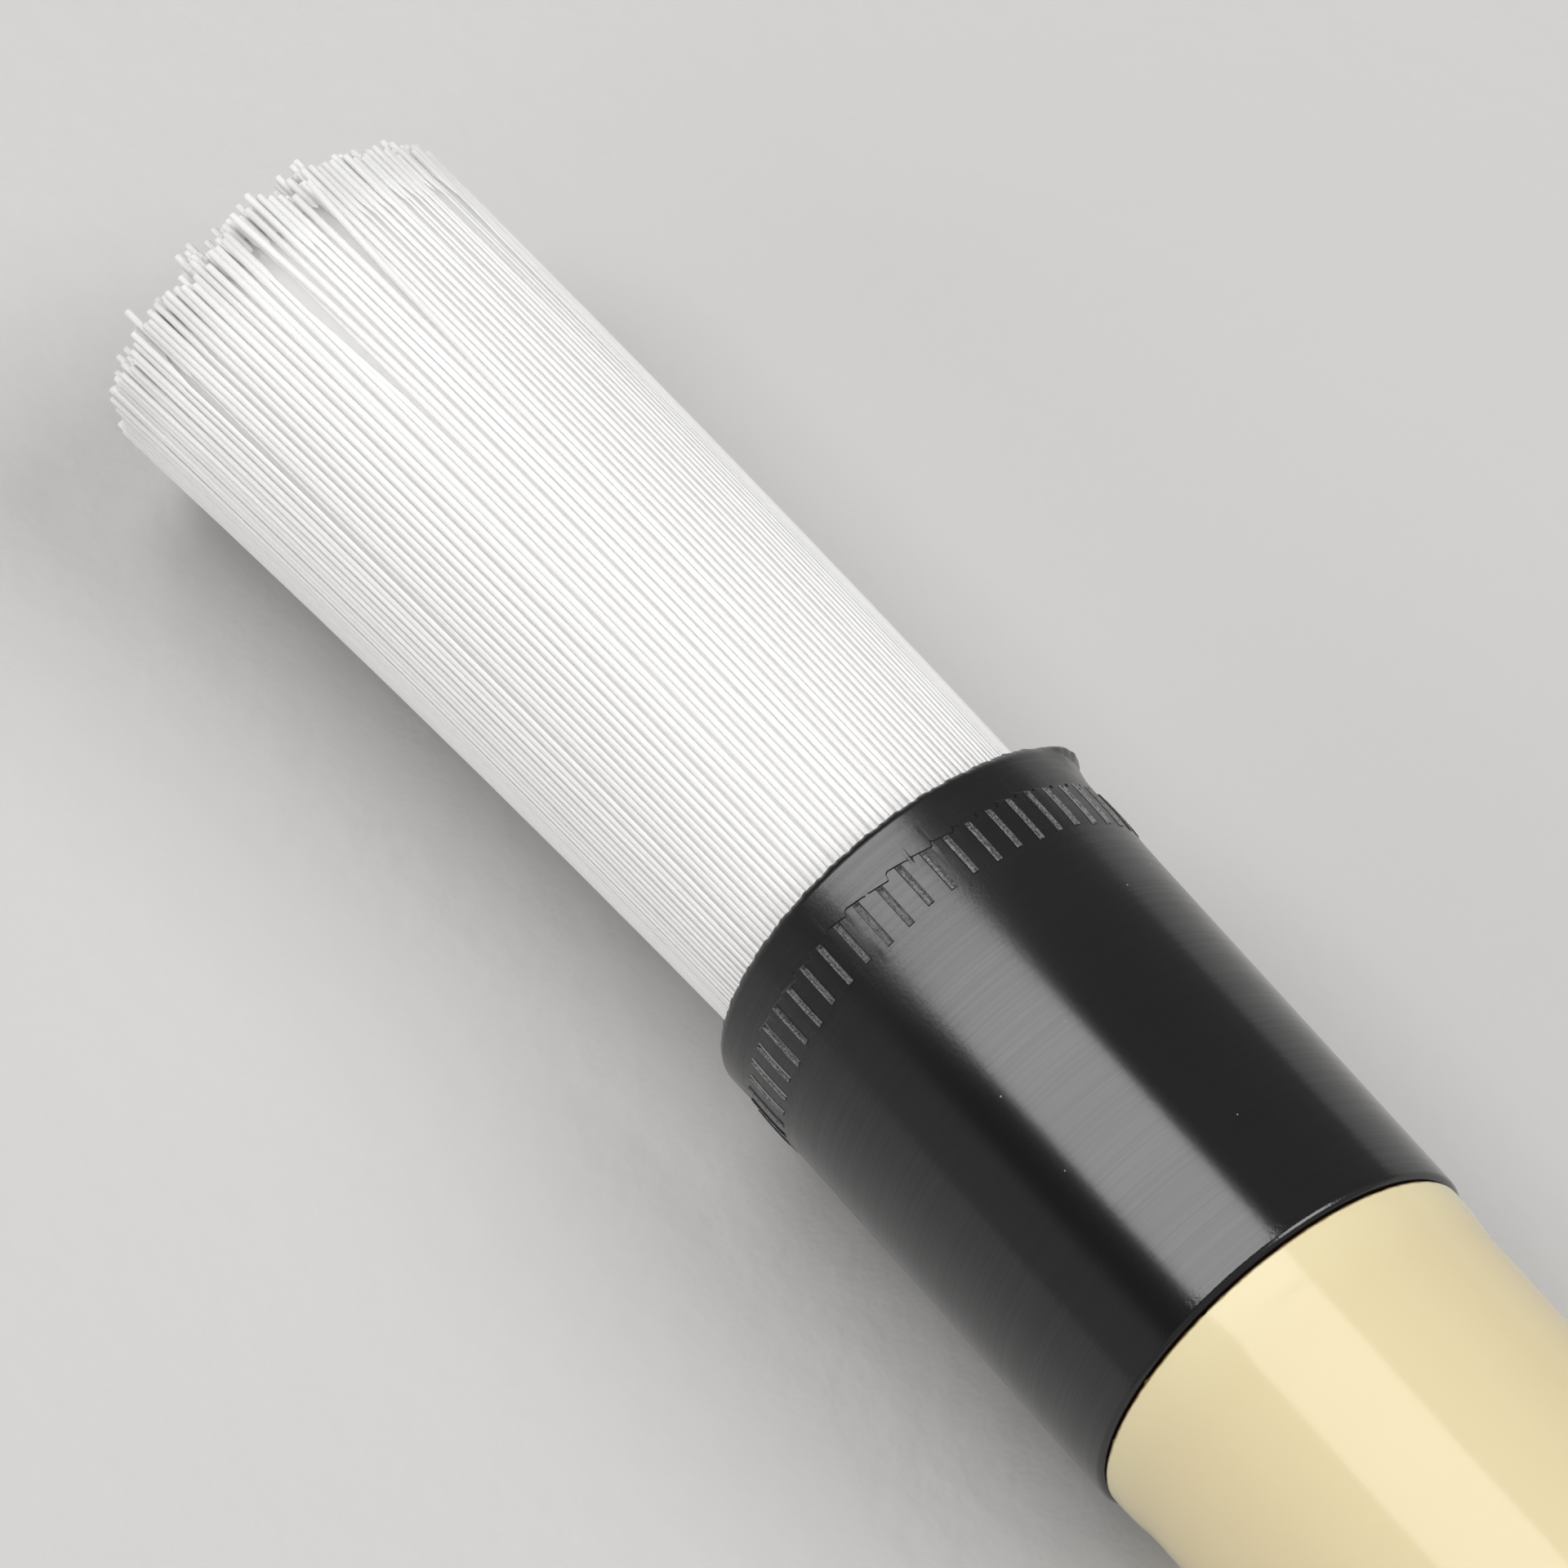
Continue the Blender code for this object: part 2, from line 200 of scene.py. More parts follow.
class Graph:
    """Makes the nodes of one material or world."""

    def __init__(self, tree: bpy.types.NodeTree) -> None:
        """Empties a node tree and takes it over."""
        self.tree = tree
        tree.nodes.clear()

    def node(self, kind: str, settings: dict, values: dict, output: Union[str, int] = 0) -> Wire:
        """Adds a node.

        Args:
            kind: The node's type.
            settings: Its properties, set first.
            values: What each input gets, by its name or number: a wire, a number or a tuple.
            output: The output to return, by its name or number.

        Returns:
            That output.
        """
        made = self.tree.nodes.new(kind)
        for name, setting in settings.items():
            setattr(made, name, setting)
        for name, value in values.items():
            socket = made.inputs[name]
            if isinstance(value, Wire):
                self.tree.links.new(value.socket, socket)
            elif isinstance(value, tuple) and len(socket.default_value) > len(value):
                socket.default_value = (*value, 1)
            else:
                socket.default_value = value
        return Wire(self, made.outputs[output]) if made.outputs else Wire(self, None)

    def place(self) -> Wire:
        """The point on the piece, in the pen's own frame."""
        return self.node("ShaderNodeTexCoord", {}, {}, "Object")

    def moved(
        self, vector: Wire, by: Triple = (0, 0, 0), turn: Triple = (0, 0, 0), scale: Triple = (1, 1, 1)
    ) -> Wire:
        """A point after scaling, turning and moving, in that order."""
        values = {"Vector": vector, "Location": by, "Rotation": turn, "Scale": scale}
        return self.node("ShaderNodeMapping", {}, values)

    def parts(self, vector: Wire) -> tuple[Wire, Wire, Wire]:
        """The three numbers of a vector."""
        first = self.node("ShaderNodeSeparateXYZ", {}, {"Vector": vector})
        return first, first.twin(1), first.twin(2)

    def noise(self, vector: Wire, scale: float, detail: float = 2.0, rough: float = 0.5) -> Wire:
        """Cloudy noise round 0.5.

        Args:
            vector: Where it is read.
            scale: Clouds to a unit of the vector.
            detail: Finer octaves on top.
            rough: How strong each finer octave is.

        Returns:
            A wire from about 0 to 1.
        """
        values = {"Vector": vector, "Scale": scale, "Detail": detail, "Roughness": rough}
        return self.node("ShaderNodeTexNoise", {}, values)

    def specks(self, vector: Wire, spacing: float, radius: float) -> Wire:
        """Round specks scattered through space.

        Args:
            vector: Where they are read.
            spacing: About how far apart they are.
            radius: How far each reaches.

        Returns:
            A wire that is 1 in a speck and 0 elsewhere.
        """
        cells = self.node("ShaderNodeTexVoronoi", {}, {"Vector": vector, "Scale": 1 / spacing})
        return cells.rises(radius / spacing, 0.6 * radius / spacing)

    def bump(self, height: Wire, depth: float) -> Wire:
        """A normal pushed about by a height from 0 to 1, where 1 stands depth metres proud."""
        return self.node("ShaderNodeBump", {}, {"Strength": 1.0, "Distance": depth, "Height": height})

    def surface(self, **sockets: Value) -> None:
        """Ends a material in a Principled BSDF, whose sockets are named with _ for a space.

        Args:
            sockets: What each named socket gets.
        """
        values = {name.replace("_", " "): value for name, value in sockets.items()}
        shader = self.node("ShaderNodeBsdfPrincipled", {}, values)
        self.node("ShaderNodeOutputMaterial", {}, {"Surface": shader})


def new_material(name: str) -> tuple[bpy.types.Material, Graph]:
    """An empty material and the graph that fills it.

    Args:
        name: The material's name.

    Returns:
        The material and its graph.
    """
    material = bpy.data.materials.new(name)
    material.use_nodes = True
    return material, Graph(material.node_tree)


# ---------------------------------------------------------------- finishes


@dataclass(frozen=True)
class NylonFinish:
    """Clear drawn nylon filament, which a bundle turns white."""

    colour: Colour = (0.855, 0.85, 0.842)
    shaded_colour: Colour = (0.815, 0.806, 0.796)
    mass_colour: Colour = (0.82, 0.815, 0.805)
    mass_shaded_colour: Colour = (0.79, 0.782, 0.772)
    clearness: float = 0.3
    roughness: float = 0.45
    scatter: float = 4.0 * MM

    def filaments(self) -> bpy.types.Material:
        """The see-through skin of single filaments. It reads each one's own tone."""
        made, graph = new_material("clear_nylon")
        tone = graph.node("ShaderNodeAttribute", {"attribute_name": "tone"}, {}, "Fac")
        graph.surface(
            Base_Color=tone.tints(self.shaded_colour, self.colour),
            Roughness=self.roughness,
            Specular_IOR_Level=0.15,
            Alpha=1 - self.clearness + tone * 0.1,
        )
        return made

    def mass(self) -> bpy.types.Material:
        """The white depth of the bundle, where light spreads from filament to filament."""
        made, graph = new_material("nylon_mass")
        streaks = graph.noise(graph.moved(graph.place(), scale=(40, 4000, 4000)), 1.0, detail=2.0)
        graph.surface(
            Base_Color=streaks.tints(self.mass_shaded_colour, self.mass_colour),
            Roughness=0.6,
            Subsurface_Weight=1.0,
            Subsurface_Radius=(1.0, 1.0, 0.98),
            Subsurface_Scale=self.scatter,
            Specular_IOR_Level=0.1,
            Normal=graph.bump(streaks, 0.004 * MM),
        )
        return made


@dataclass(frozen=True)
class FerruleFinish:
    """Gloss black plastic with fine lines round it, rougher towards the rolled mouth."""

    mouth_x: float
    length: float
    colour: Colour = (0.0058, 0.0058, 0.0062)
    dust_colour: Colour = (0.35, 0.34, 0.32)
    front_roughness: float = 0.26
    rear_roughness: float = 0.14

    def gloss(self) -> bpy.types.Material:
        """The tube's own skin."""
        made, graph = new_material("ferrule_gloss_black")
        point = graph.place()
        behind = graph.parts(point)[0] - self.mouth_x
        lines = graph.noise(graph.moved(point, scale=(13000, 120, 120)), 1.0, detail=2.0)
        front = behind.rises(9 * MM, 1.5 * MM)
        rear = behind.rises(self.length - 0.7 * MM, self.length - 0.2 * MM)
        grain = graph.noise(point, 9000, detail=2.0, rough=0.7)
        ripples = graph.noise(graph.moved(point, scale=(500, 900, 900)), 1.0, detail=2.0)
        dust = graph.specks(point, 1.1 * MM, 0.03 * MM)
        height = lines * (0.5 + front * 0.3) + grain * (0.2 + front * 0.5 + rear * 1.0) + ripples * 0.6 + dust
        graph.surface(
            Base_Color=dust.tints(self.colour, self.dust_colour),
            Roughness=self.rear_roughness
            + front * (self.front_roughness - self.rear_roughness)
            + grain * 0.05
            + dust * 0.4,
            IOR=1.53,
            Coat_Weight=0.06 + lines.rises(0.3, 0.7) * 0.14,
            Coat_Roughness=self.rear_roughness,
            Normal=graph.bump(height, 0.0042 * MM),
        )
        return made

    def rolled(self) -> bpy.types.Material:
        """The torn, grainy floors of the grooves. Their grain is real; their pale grey flecks are painted
        highlight, standing for softbox light that the rough floors catch.
        """
        made, graph = new_material("ferrule_rolled_groove")
        point = graph.place()
        grain = graph.noise(point, 16000, detail=3.0, rough=0.75)
        graph.surface(
            # Painted highlight: the pale grey stands for softbox light scattered by the rough groove floors;
            # the near-black is the plastic's own
            Base_Color=grain.rises(0.3, 0.7).tints((0.025, 0.025, 0.025), (0.27, 0.265, 0.26)),
            Roughness=0.34 + grain * 0.25,
            Normal=graph.bump(grain, 0.03 * MM),
        )
        return made


@dataclass(frozen=True)
class LacquerFinish:
    """Glossy cream lacquer with an orange-peel ripple, and painted dark-brown shade where it meets the
    ferrule.
    """

    front_x: float
    colour: Colour = (0.615, 0.522, 0.322)
    lip_colour: Colour = (0.635, 0.560, 0.350)
    gap_shade_colour: Colour = (0.09, 0.048, 0.012)
    roughness: float = 0.09

    def material(self) -> bpy.types.Material:
        """The finish as a material."""
        made, graph = new_material("cream_lacquer")
        point = graph.place()
        behind = graph.parts(point)[0] - self.front_x
        peel = graph.noise(point, 900, detail=1.0)
        waves = graph.noise(graph.moved(point, scale=(140, 300, 300)), 1.0, detail=1.0)
        cloud = graph.noise(point, 260, detail=3.0)
        specks = graph.specks(graph.moved(point, by=(0.3, 0.7, 0.1)), 3.2 * MM, 0.06 * MM)
        ragged = behind + (graph.noise(point, 3000, detail=2.0) - 0.5) * 0.05 * MM
        body = behind.rises(0.4 * MM, 2.2 * MM).tints(self.lip_colour, self.colour)
        body = (cloud * 0.5).tints(body, (0.645, 0.552, 0.350))
        body = specks.tints(body, (0.25, 0.13, 0.04))
        graph.surface(
            # Painted shade: the dark brown band at the lip's front edge stands for the shadowed gap at the
            # ferrule
            Base_Color=ragged.rises(0.07 * MM, 0.15 * MM).tints(self.gap_shade_colour, body),
            Roughness=self.roughness + cloud * 0.06,
            Specular_IOR_Level=0.24,
            Subsurface_Weight=0.15,
            Subsurface_Radius=(1.0, 0.8, 0.5),
            Subsurface_Scale=0.4 * MM,
            Normal=graph.bump(peel * 0.5 + waves * 2.2, 0.006 * MM),
        )
        return made


@dataclass(frozen=True)
class MouldedFinish:
    """Moulded black plastic: a satin spark-eroded skin with rubbed edges."""

    name: str
    colour: Colour = (0.011, 0.011, 0.012)
    roughness: float = 0.30
    grain_depth: float = 0.0025 * MM

    def material(self) -> bpy.types.Material:
        """The finish as a material."""
        made, graph = new_material(self.name)
        point = graph.place()
        grain = graph.noise(point, 9000, detail=2.0, rough=0.6)
        flow = graph.noise(graph.moved(point, scale=(60, 350, 350)), 1.0, detail=2.0)
        rubs = graph.noise(graph.moved(point, turn=(0.2, 0.5, 0.4), scale=(120, 7000, 7000)), 1.0, detail=0.0)
        dust = graph.specks(point, 1.9 * MM, 0.03 * MM)
        graph.surface(
            Base_Color=dust.tints(flow.tints(self.colour, (0.016, 0.016, 0.017)), (0.3, 0.29, 0.27)),
            Roughness=self.roughness - 0.04 + grain * 0.08 + rubs.rises(0.72, 0.8) * 0.12,
            Normal=graph.bump(grain + dust, self.grain_depth),
        )
        return made


@dataclass(frozen=True)
class RubberFinish:
    """Soft matte black rubber with a faint bloom."""

    colour: Colour = (0.022, 0.022, 0.023)
    bloom: Colour = (0.042, 0.042, 0.041)

    def material(self) -> bpy.types.Material:
        """The finish as a material."""
        made, graph = new_material("matte_rubber")
        point = graph.place()
        cloud = graph.noise(point, 900, detail=4.0, rough=0.6)
        grain = graph.noise(point, 12000, detail=2.0)
        graph.surface(
            Base_Color=cloud.rises(0.35, 0.75).tints(self.colour, self.bloom),
            Roughness=0.55 + cloud * 0.15,
            Normal=graph.bump(grain, 0.005 * MM),
        )
        return made


@dataclass(frozen=True)
class NapFinish:
    """A cloth of short matted fibres, as suede and felt have."""

    name: str
    low: Colour
    high: Colour
    fibre: float
    depth: float

    def material(self) -> bpy.types.Material:
        """The finish as a material."""
        made, graph = new_material(self.name)
        point = graph.place()
        fibres = graph.noise(point, 1 / self.fibre, detail=5.0, rough=0.75)
        tufts = graph.node("ShaderNodeTexVoronoi", {}, {"Vector": point, "Scale": 0.5 / self.fibre})
        brushed = graph.noise(point, 700, detail=2.0)
        height = fibres + tufts * 0.5
        graph.surface(
            Base_Color=(fibres * 0.7 + brushed * 0.5 - 0.1).rises(0.2, 0.8).tints(self.low, self.high),
            Roughness=0.88 + fibres * 0.1,
            Sheen_Weight=0.35,
            Sheen_Roughness=0.4,
            Specular_IOR_Level=0.2,
            Normal=graph.bump(height, self.depth),
        )
        return made


@dataclass(frozen=True)
class ResinFinish:
    """Set amber casting resin with trapped bubbles."""

    colour: Colour = (0.42, 0.24, 0.07)

    def material(self) -> bpy.types.Material:
        """The finish as a material."""
        made, graph = new_material("amber_resin")
        point = graph.place()
        bubbles = graph.specks(point, 0.7 * MM, 0.12 * MM)
        cloud = graph.noise(point, 500, detail=3.0)
        graph.surface(
            Base_Color=bubbles.tints(cloud.tints(self.colour, (0.55, 0.36, 0.14)), (0.7, 0.55, 0.3)),
            Roughness=0.2 + cloud * 0.1,
            Normal=graph.bump(bubbles, 0.02 * MM),
        )
        return made


@dataclass(frozen=True)
class TableFinish:
    """A pale matt board with a slight tooth."""

    colour: Colour = (0.475, 0.468, 0.460)

    def material(self) -> bpy.types.Material:
        """The finish as a material."""
        made, graph = new_material("pale_board")
        point = graph.place()
        tooth = graph.noise(point, 800, detail=3.0, rough=0.55)
        cloud = graph.noise(point, 40, detail=2.0)
        graph.surface(
            Base_Color=(tooth * 0.3 + cloud * 0.3).tints(self.colour, (0.485, 0.480, 0.474)),
            Roughness=0.6,
            Specular_IOR_Level=0.3,
            Normal=graph.bump(tooth, 0.06 * MM),
        )
        return made


# ---------------------------------------------------------------- modelling


def select_only(piece: bpy.types.Object) -> None:
    """Makes a piece the one selected and active object.

    Args:
        piece: The piece.
    """
    bpy.ops.object.select_all(action="DESELECT")
    piece.select_set(True)
    bpy.context.view_layer.objects.active = piece


def corner_points(before: Point, corner: Point, after: Point, fillet: float, step: float) -> list[Point]:
    """Rounds one corner of an outline.

    Args:
        before: The corner before it.
        corner: The sharp corner.
        after: The corner after it.
        fillet: The radius.
        step: The most that the arc turns between two points, in radians.

    Returns:
        The points along the arc, ends included.
    """
    at, back, on = Vector(corner), Vector(before) - Vector(corner), Vector(after) - Vector(corner)
    opening = back.angle(on)
    reach = fillet / math.tan(opening / 2)
    centre = at + (back.normalized() + on.normalized()).normalized() * fillet / math.sin(opening / 2)
    start = at + back.normalized() * reach - centre
    turn = start.angle_signed(at + on.normalized() * reach - centre)
    steps = max(2, math.ceil(abs(turn) / step))
    made = []
    for index in range(steps + 1):
        point = centre + Matrix.Rotation(-turn * index / steps, 2) @ start
        made.append((point.x, point.y))
    return made


def outline(
    corners: Sequence[tuple], closed: bool = False, step: float = math.radians(12), longest: float = 1.0
) -> list[Point]:
    """An outline from its corners, with round corners as arcs and long runs divided.

    Args:
        corners: (x, radius) or (x, radius, fillet) for each corner.
        closed: Whether the last corner joins the first.
        step: The most that an arc turns between two points, in radians.
        longest: The longest run without a point between.

    Returns:
        The outline's (x, radius) points.
    """
    points: list[Point] = []
    count = len(corners)
    for index, corner in enumerate(corners):
        at = corner[:2]
        rounded = len(corner) > 2 and (closed or 0 < index < count - 1)
        before, after = corners[index - 1][:2], corners[(index + 1) % count][:2]
        points += corner_points(before, at, after, corner[2], step) if rounded else [at]
    if closed:
        points.append(points[0])
    divided = points[:1]
    for start, end in zip(points, points[1:]):
        runs = max(1, math.ceil(math.dist(start, end) / longest))
        for run in range(1, runs + 1):
            share = run / runs
            divided.append((start[0] + (end[0] - start[0]) * share, start[1] + (end[1] - start[1]) * share))
    return divided


def turned(name: str, points: Sequence[Point], axis_z: float, segments: int) -> bpy.types.Object:
    """Draws half a section by extruding a point, and turns it about the pen's axis with a Screw.

    Args:
        name: The piece's name.
        points: The section's (x, radius) points. It ends on the axis, or where it started.
        axis_z: The height of the pen's axis.
        segments: How many faces go round.

    Returns:
        The closed piece, facing out, with nothing selected on it.
    """
    bpy.ops.object.select_all(action="DESELECT")
    bpy.ops.mesh.primitive_plane_add(size=MM, location=(0, 0, axis_z))
    piece = bpy.context.object
    piece.name = piece.data.name = name
    bpy.ops.object.mode_set(mode="EDIT")
    bpy.ops.mesh.select_mode(type="VERT")
    bpy.ops.mesh.select_all(action="SELECT")
    bpy.ops.mesh.merge(type="CENTER")
    bpy.ops.transform.translate(value=(points[0][0], 0, points[0][1]))
    for start, end in zip(points, points[1:]):
        move = (end[0] - start[0], 0, end[1] - start[1])
        bpy.ops.mesh.extrude_vertices_move(TRANSFORM_OT_translate={"value": move})
    bpy.ops.object.mode_set(mode="OBJECT")
    screw = piece.modifiers.new("turn", "SCREW")
    screw.axis = "X"
    screw.steps = screw.render_steps = segments
    screw.use_merge_vertices = True
    screw.merge_threshold = WELD
    bpy.ops.object.modifier_apply(modifier=screw.name)
    bpy.ops.object.transform_apply(location=True, rotation=True, scale=True)
    bpy.ops.object.mode_set(mode="EDIT")
    bpy.ops.mesh.select_all(action="SELECT")
    bpy.ops.mesh.remove_doubles(threshold=WELD)
    bpy.ops.mesh.normals_make_consistent(inside=False)
    bpy.ops.mesh.select_all(action="DESELECT")
    bpy.ops.object.mode_set(mode="OBJECT")
    return piece


def coordinates(piece: bpy.types.Object) -> np.ndarray:
    """The places of a mesh's points, one row each.

    Args:
        piece: The piece.

    Returns:
        Rows of x, y and z.
    """
    values = np.empty(len(piece.data.vertices) * 3)
    piece.data.vertices.foreach_get("co", values)
    return values.reshape(-1, 3)


def place_points(piece: bpy.types.Object, values: np.ndarray) -> None:
    """Moves a mesh's points to new places."""
    piece.data.vertices.foreach_set("co", values.ravel())
    piece.data.update()


Round = Callable[[np.ndarray, np.ndarray, np.ndarray], tuple[np.ndarray, np.ndarray, np.ndarray]]


def rework(piece: bpy.types.Object, axis_z: float, change: Round) -> None:
    """Moves the points of a turned piece by a rule on their place round the axis.

    Args:
        piece: The piece.
        axis_z: The height of its axis.
        change: Takes x, radius and angle from +Z towards +Y, and returns new ones.
    """
    places = coordinates(piece)
    up = places[:, 2] - axis_z
    x, radius, angle = change(places[:, 0], np.hypot(places[:, 1], up), np.arctan2(places[:, 1], up))
    place_points(piece, np.stack([x, radius * np.sin(angle), axis_z + radius * np.cos(angle)], axis=1))


def pick_faces(piece: bpy.types.Object, test: Callable[[np.ndarray], np.ndarray]) -> int:
    """Opens a piece for editing with only some faces selected.

    Args:
        piece: The piece.
        test: Takes the faces' centres, one row each, and says which are wanted.

    Returns:
        How many were selected.
    """
    select_only(piece)
    centres = np.empty(len(piece.data.polygons) * 3)
    piece.data.polygons.foreach_get("center", centres)
    wanted = test(centres.reshape(-1, 3))
    bpy.ops.object.mode_set(mode="EDIT")
    bpy.ops.mesh.select_mode(type="FACE")
    bpy.ops.mesh.select_all(action="DESELECT")
    bpy.ops.object.mode_set(mode="OBJECT")
    piece.data.polygons.foreach_set("select", wanted)
    bpy.ops.object.mode_set(mode="EDIT")
    return int(wanted.sum())


def smooth(value: np.ndarray, low: float, high: float) -> np.ndarray:
    """A smooth step from 0 at low to 1 at high."""
    share = np.clip((value - low) / (high - low), 0, 1)
    return share * share * (3 - 2 * share)


def finish_piece(
    piece: bpy.types.Object,
    materials: Sequence[bpy.types.Material],
    replaces: Sequence[str],
    shading: Shading = Shading.CRISP,
    body: Optional[Body] = None,
) -> None:
    """Shades a finished mesh, dresses it and ties it to the frame.

    Args:
        piece: The mesh, at rest in the pen's frame.
        materials: Its materials, in the order of its slots.
        replaces: The CAD nodes that it stands for.
        shading: Which of its edges stay sharp.
        body: The body that it rides on, or None to leave it attached to no body.
    """
    select_only(piece)
    bpy.ops.object.shade_smooth_by_angle(angle=shading.value)
    for index, material in enumerate(materials):
        if index < len(piece.data.materials):
            piece.data.materials[index] = material
        else:
            piece.data.materials.append(material)
    if body:
        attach(piece, body.value)
    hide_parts(*replaces)
    log.info("%s: %d faces", piece.name, len(piece.data.polygons))


# ---------------------------------------------------------------- the pen


@dataclass(frozen=True)
class Places:
    """Where the frame's pieces lie along the pen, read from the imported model."""

    axis_z: float
    mouth_x: float
    ferrule_end_x: float
    barrel_end_x: float
    cap_x: float
    pivot_x: float

    @classmethod
    def from_frame(cls) -> "Places":
        """Reads the boxes of the frame's nodes and the place of its hinge."""
        ferrule_low, ferrule_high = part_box("ferrule")
        hinge = next(joint for joint in frame["joints"] if joint["name"] == "tip_tilt")
        return cls(
            axis_z=(ferrule_low.z + ferrule_high.z) / 2,
            mouth_x=ferrule_low.x,
            ferrule_end_x=ferrule_high.x,
            barrel_end_x=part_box("barrel")[1].x,
            cap_x=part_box("cap_tube")[0].x,
            pivot_x=hinge["pos_m"][0],
        )


@dataclass
class Tuft:
    """The brush: clear nylon filaments in rings, which spread, lean and clump towards their cut ends."""

    places: Places
    root_radius: float = 5.2 * MM
    root_depth: float = 7.0 * MM
    free_length: float = 25.2 * MM
    filament_radius: float = 0.1 * MM
    cut_chamfer: float = 0.02 * MM
    ring_pitch: float = 0.188 * MM
    spacing: float = 0.207 * MM
    flare: float = 0.43 * MM
    dome: float = 0.55 * MM
    sweep_slope: float = 0.026
    sweep_curve: float = 0.86
    outer_rings: int = 4
    mass_short: float = 0.55 * MM
    mass_taper: float = 1.1 * MM
    mass_depth: float = 0.0282 * MM
    clump_size: float = 0.9 * MM
    clump_drift: float = 0.035 * MM
    step_size: float = 0.8 * MM
    step_height: float = 0.13 * MM
    uneven: float = 0.1 * MM
    longest_extra: float = 0.6 * MM
    stray_share: float = 0.025
    stray_reach: float = 0.45 * MM
    wander: float = 0.04 * MM
    seed: int = 11

    def build(self, finish: NylonFinish) -> None:
        """Models and dresses both bundles, and the white mass of filaments inside them.

        Args:
            finish: The nylon.
        """
        noise.seed_set(self.seed)
        draw = random.Random(self.seed)
        material = finish.filaments()
        rings = int(self.root_radius / self.ring_pitch)
        outer = range(rings - self.outer_rings, rings)
        core = range(0, rings - self.outer_rings)
        self._bundle("filaments_outer", outer, 8, 7, material, draw)
        self._bundle("filaments_core", core, 6, 4, material, draw)
        self._mass(finish.mass())

    def _mass(self, material: bpy.types.Material) -> None:
        """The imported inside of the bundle, which ends short of the filaments' cut ends.

        Args:
            material: Its material.
        """
        root = self.places.mouth_x + self.root_depth
        end = self.places.mouth_x - self.free_length + self.mass_short
        radius = int(self.root_radius / self.ring_pitch) * self.ring_pitch - self.mass_depth
        corners = [(end, 0), (end, radius * 0.92, 0.5 * MM), (end + self.mass_taper, radius, 4 * MM)]
        corners += [(root, radius, 0.2 * MM), (root, 0)]
        piece = turned("filaments_mass", outline(corners, longest=1.2 * MM), self.places.axis_z, 96)
        place_points(piece, self._spread(coordinates(piece)))
        finish_piece(piece, [material], ["bristle_tuft"], Shading.SOFT, Body.PEN)

    def _spread(self, straight: np.ndarray) -> np.ndarray:
        """Points of a straight bundle after it spreads and leans. It leaves what is inside the ferrule.

        Args:
            straight: The points, one row each.

        Returns:
            The moved points.
        """
        ahead = np.clip(self.places.mouth_x - straight[:, 0], 0, None)
        spread = 1 + ahead / self.free_length * self.flare / self.root_radius
        bent = straight.copy()
        bent[:, 1] = straight[:, 1] * spread - self.sweep_slope * ahead - self.sweep_curve * ahead**2
        bent[:, 2] = self.places.axis_z + (straight[:, 2] - self.places.axis_z) * spread
        return bent

    def _filament(self, sides: int, stations: int) -> bpy.types.Object:
        """One straight filament on the pen's axis, from its root to its cut end.

        Args:
            sides: Faces round it.
            stations: Runs along its free length.

        Returns:
            The closed filament.
        """
        root_x = self.places.mouth_x + self.root_depth
        bpy.ops.object.select_all(action="DESELECT")
        bpy.ops.mesh.primitive_circle_add(
            vertices=sides,
            radius=self.filament_radius,
            fill_type="NGON",
            location=(root_x, 0, self.places.axis_z),
            rotation=(0, math.pi / 2, 0),
        )
        filament = bpy.context.object
        bpy.ops.object.transform_apply(location=True, rotation=True, scale=True)
        bpy.ops.object.mode_set(mode="EDIT")
        bpy.ops.mesh.select_mode(type="FACE")
        bpy.ops.mesh.select_all(action="SELECT")
        run = (self.free_length - self.cut_chamfer) / stations
        for run in [self.root_depth] + [run] * stations + [self.cut_chamfer]:
            bpy.ops.mesh.extrude_region_move(TRANSFORM_OT_translate={"value": (-run, 0, 0)})
        bpy.ops.transform.resize(value=(1, 0.8, 0.8), center_override=(0, 0, self.places.axis_z))
        bpy.ops.mesh.select_all(action="SELECT")
        bpy.ops.mesh.normals_make_consistent(inside=False)
        bpy.ops.object.mode_set(mode="OBJECT")
        bpy.ops.object.shade_smooth_by_angle(angle=Shading.SOFT.value * 1.3)
        return filament

    def _bundle(
        self,
        name: str,
        rings: range,
        sides: int,
        stations: int,
        material: bpy.types.Material,
        draw: random.Random,
    ) -> None:
        """Copies a filament round the rings and joins the copies into one piece.

        Args:
            name: The piece's name.
            rings: The rings to fill, counted from the middle.
            sides: Faces round each filament.
            stations: Runs along each filament.
            material: The bundle's material.
            draw: The source of chance.
        """
        model = self._filament(sides, stations)
        straight = coordinates(model)
        copies = []
        for ring in rings:
            radius = (ring + 0.5) * self.ring_pitch
            count = max(1, int(FULL_TURN * radius / self.spacing))
            phase = draw.random()
            for index in range(count):
                angle = (index + phase + draw.uniform(-0.1, 0.1)) / count * FULL_TURN
                root = Vector((0, radius * math.sin(angle), radius * math.cos(angle)))
                copy = model.copy()
                copy.data = model.data.copy()
                bpy.context.scene.collection.objects.link(copy)
                place_points(copy, self._bent(straight, root, draw))
                tone = copy.data.attributes.new("tone", "FLOAT", "POINT")
                tone.data.foreach_set("value", np.full(len(straight), draw.random(), np.float32))
                copies.append(copy)
        bpy.data.objects.remove(model)
        bpy.ops.object.select_all(action="DESELECT")
        for copy in copies:
            copy.select_set(True)
        bpy.context.view_layer.objects.active = copies[0]
        bpy.ops.object.join()
        bundle = copies[0]
        bundle.name = bundle.data.name = name
        bundle.data.materials.append(material)
        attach(bundle, Body.PEN.value)
        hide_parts("bristle_tuft")
        log.info("%s: %d filaments, %d faces", name, len(copies), len(bundle.data.polygons))

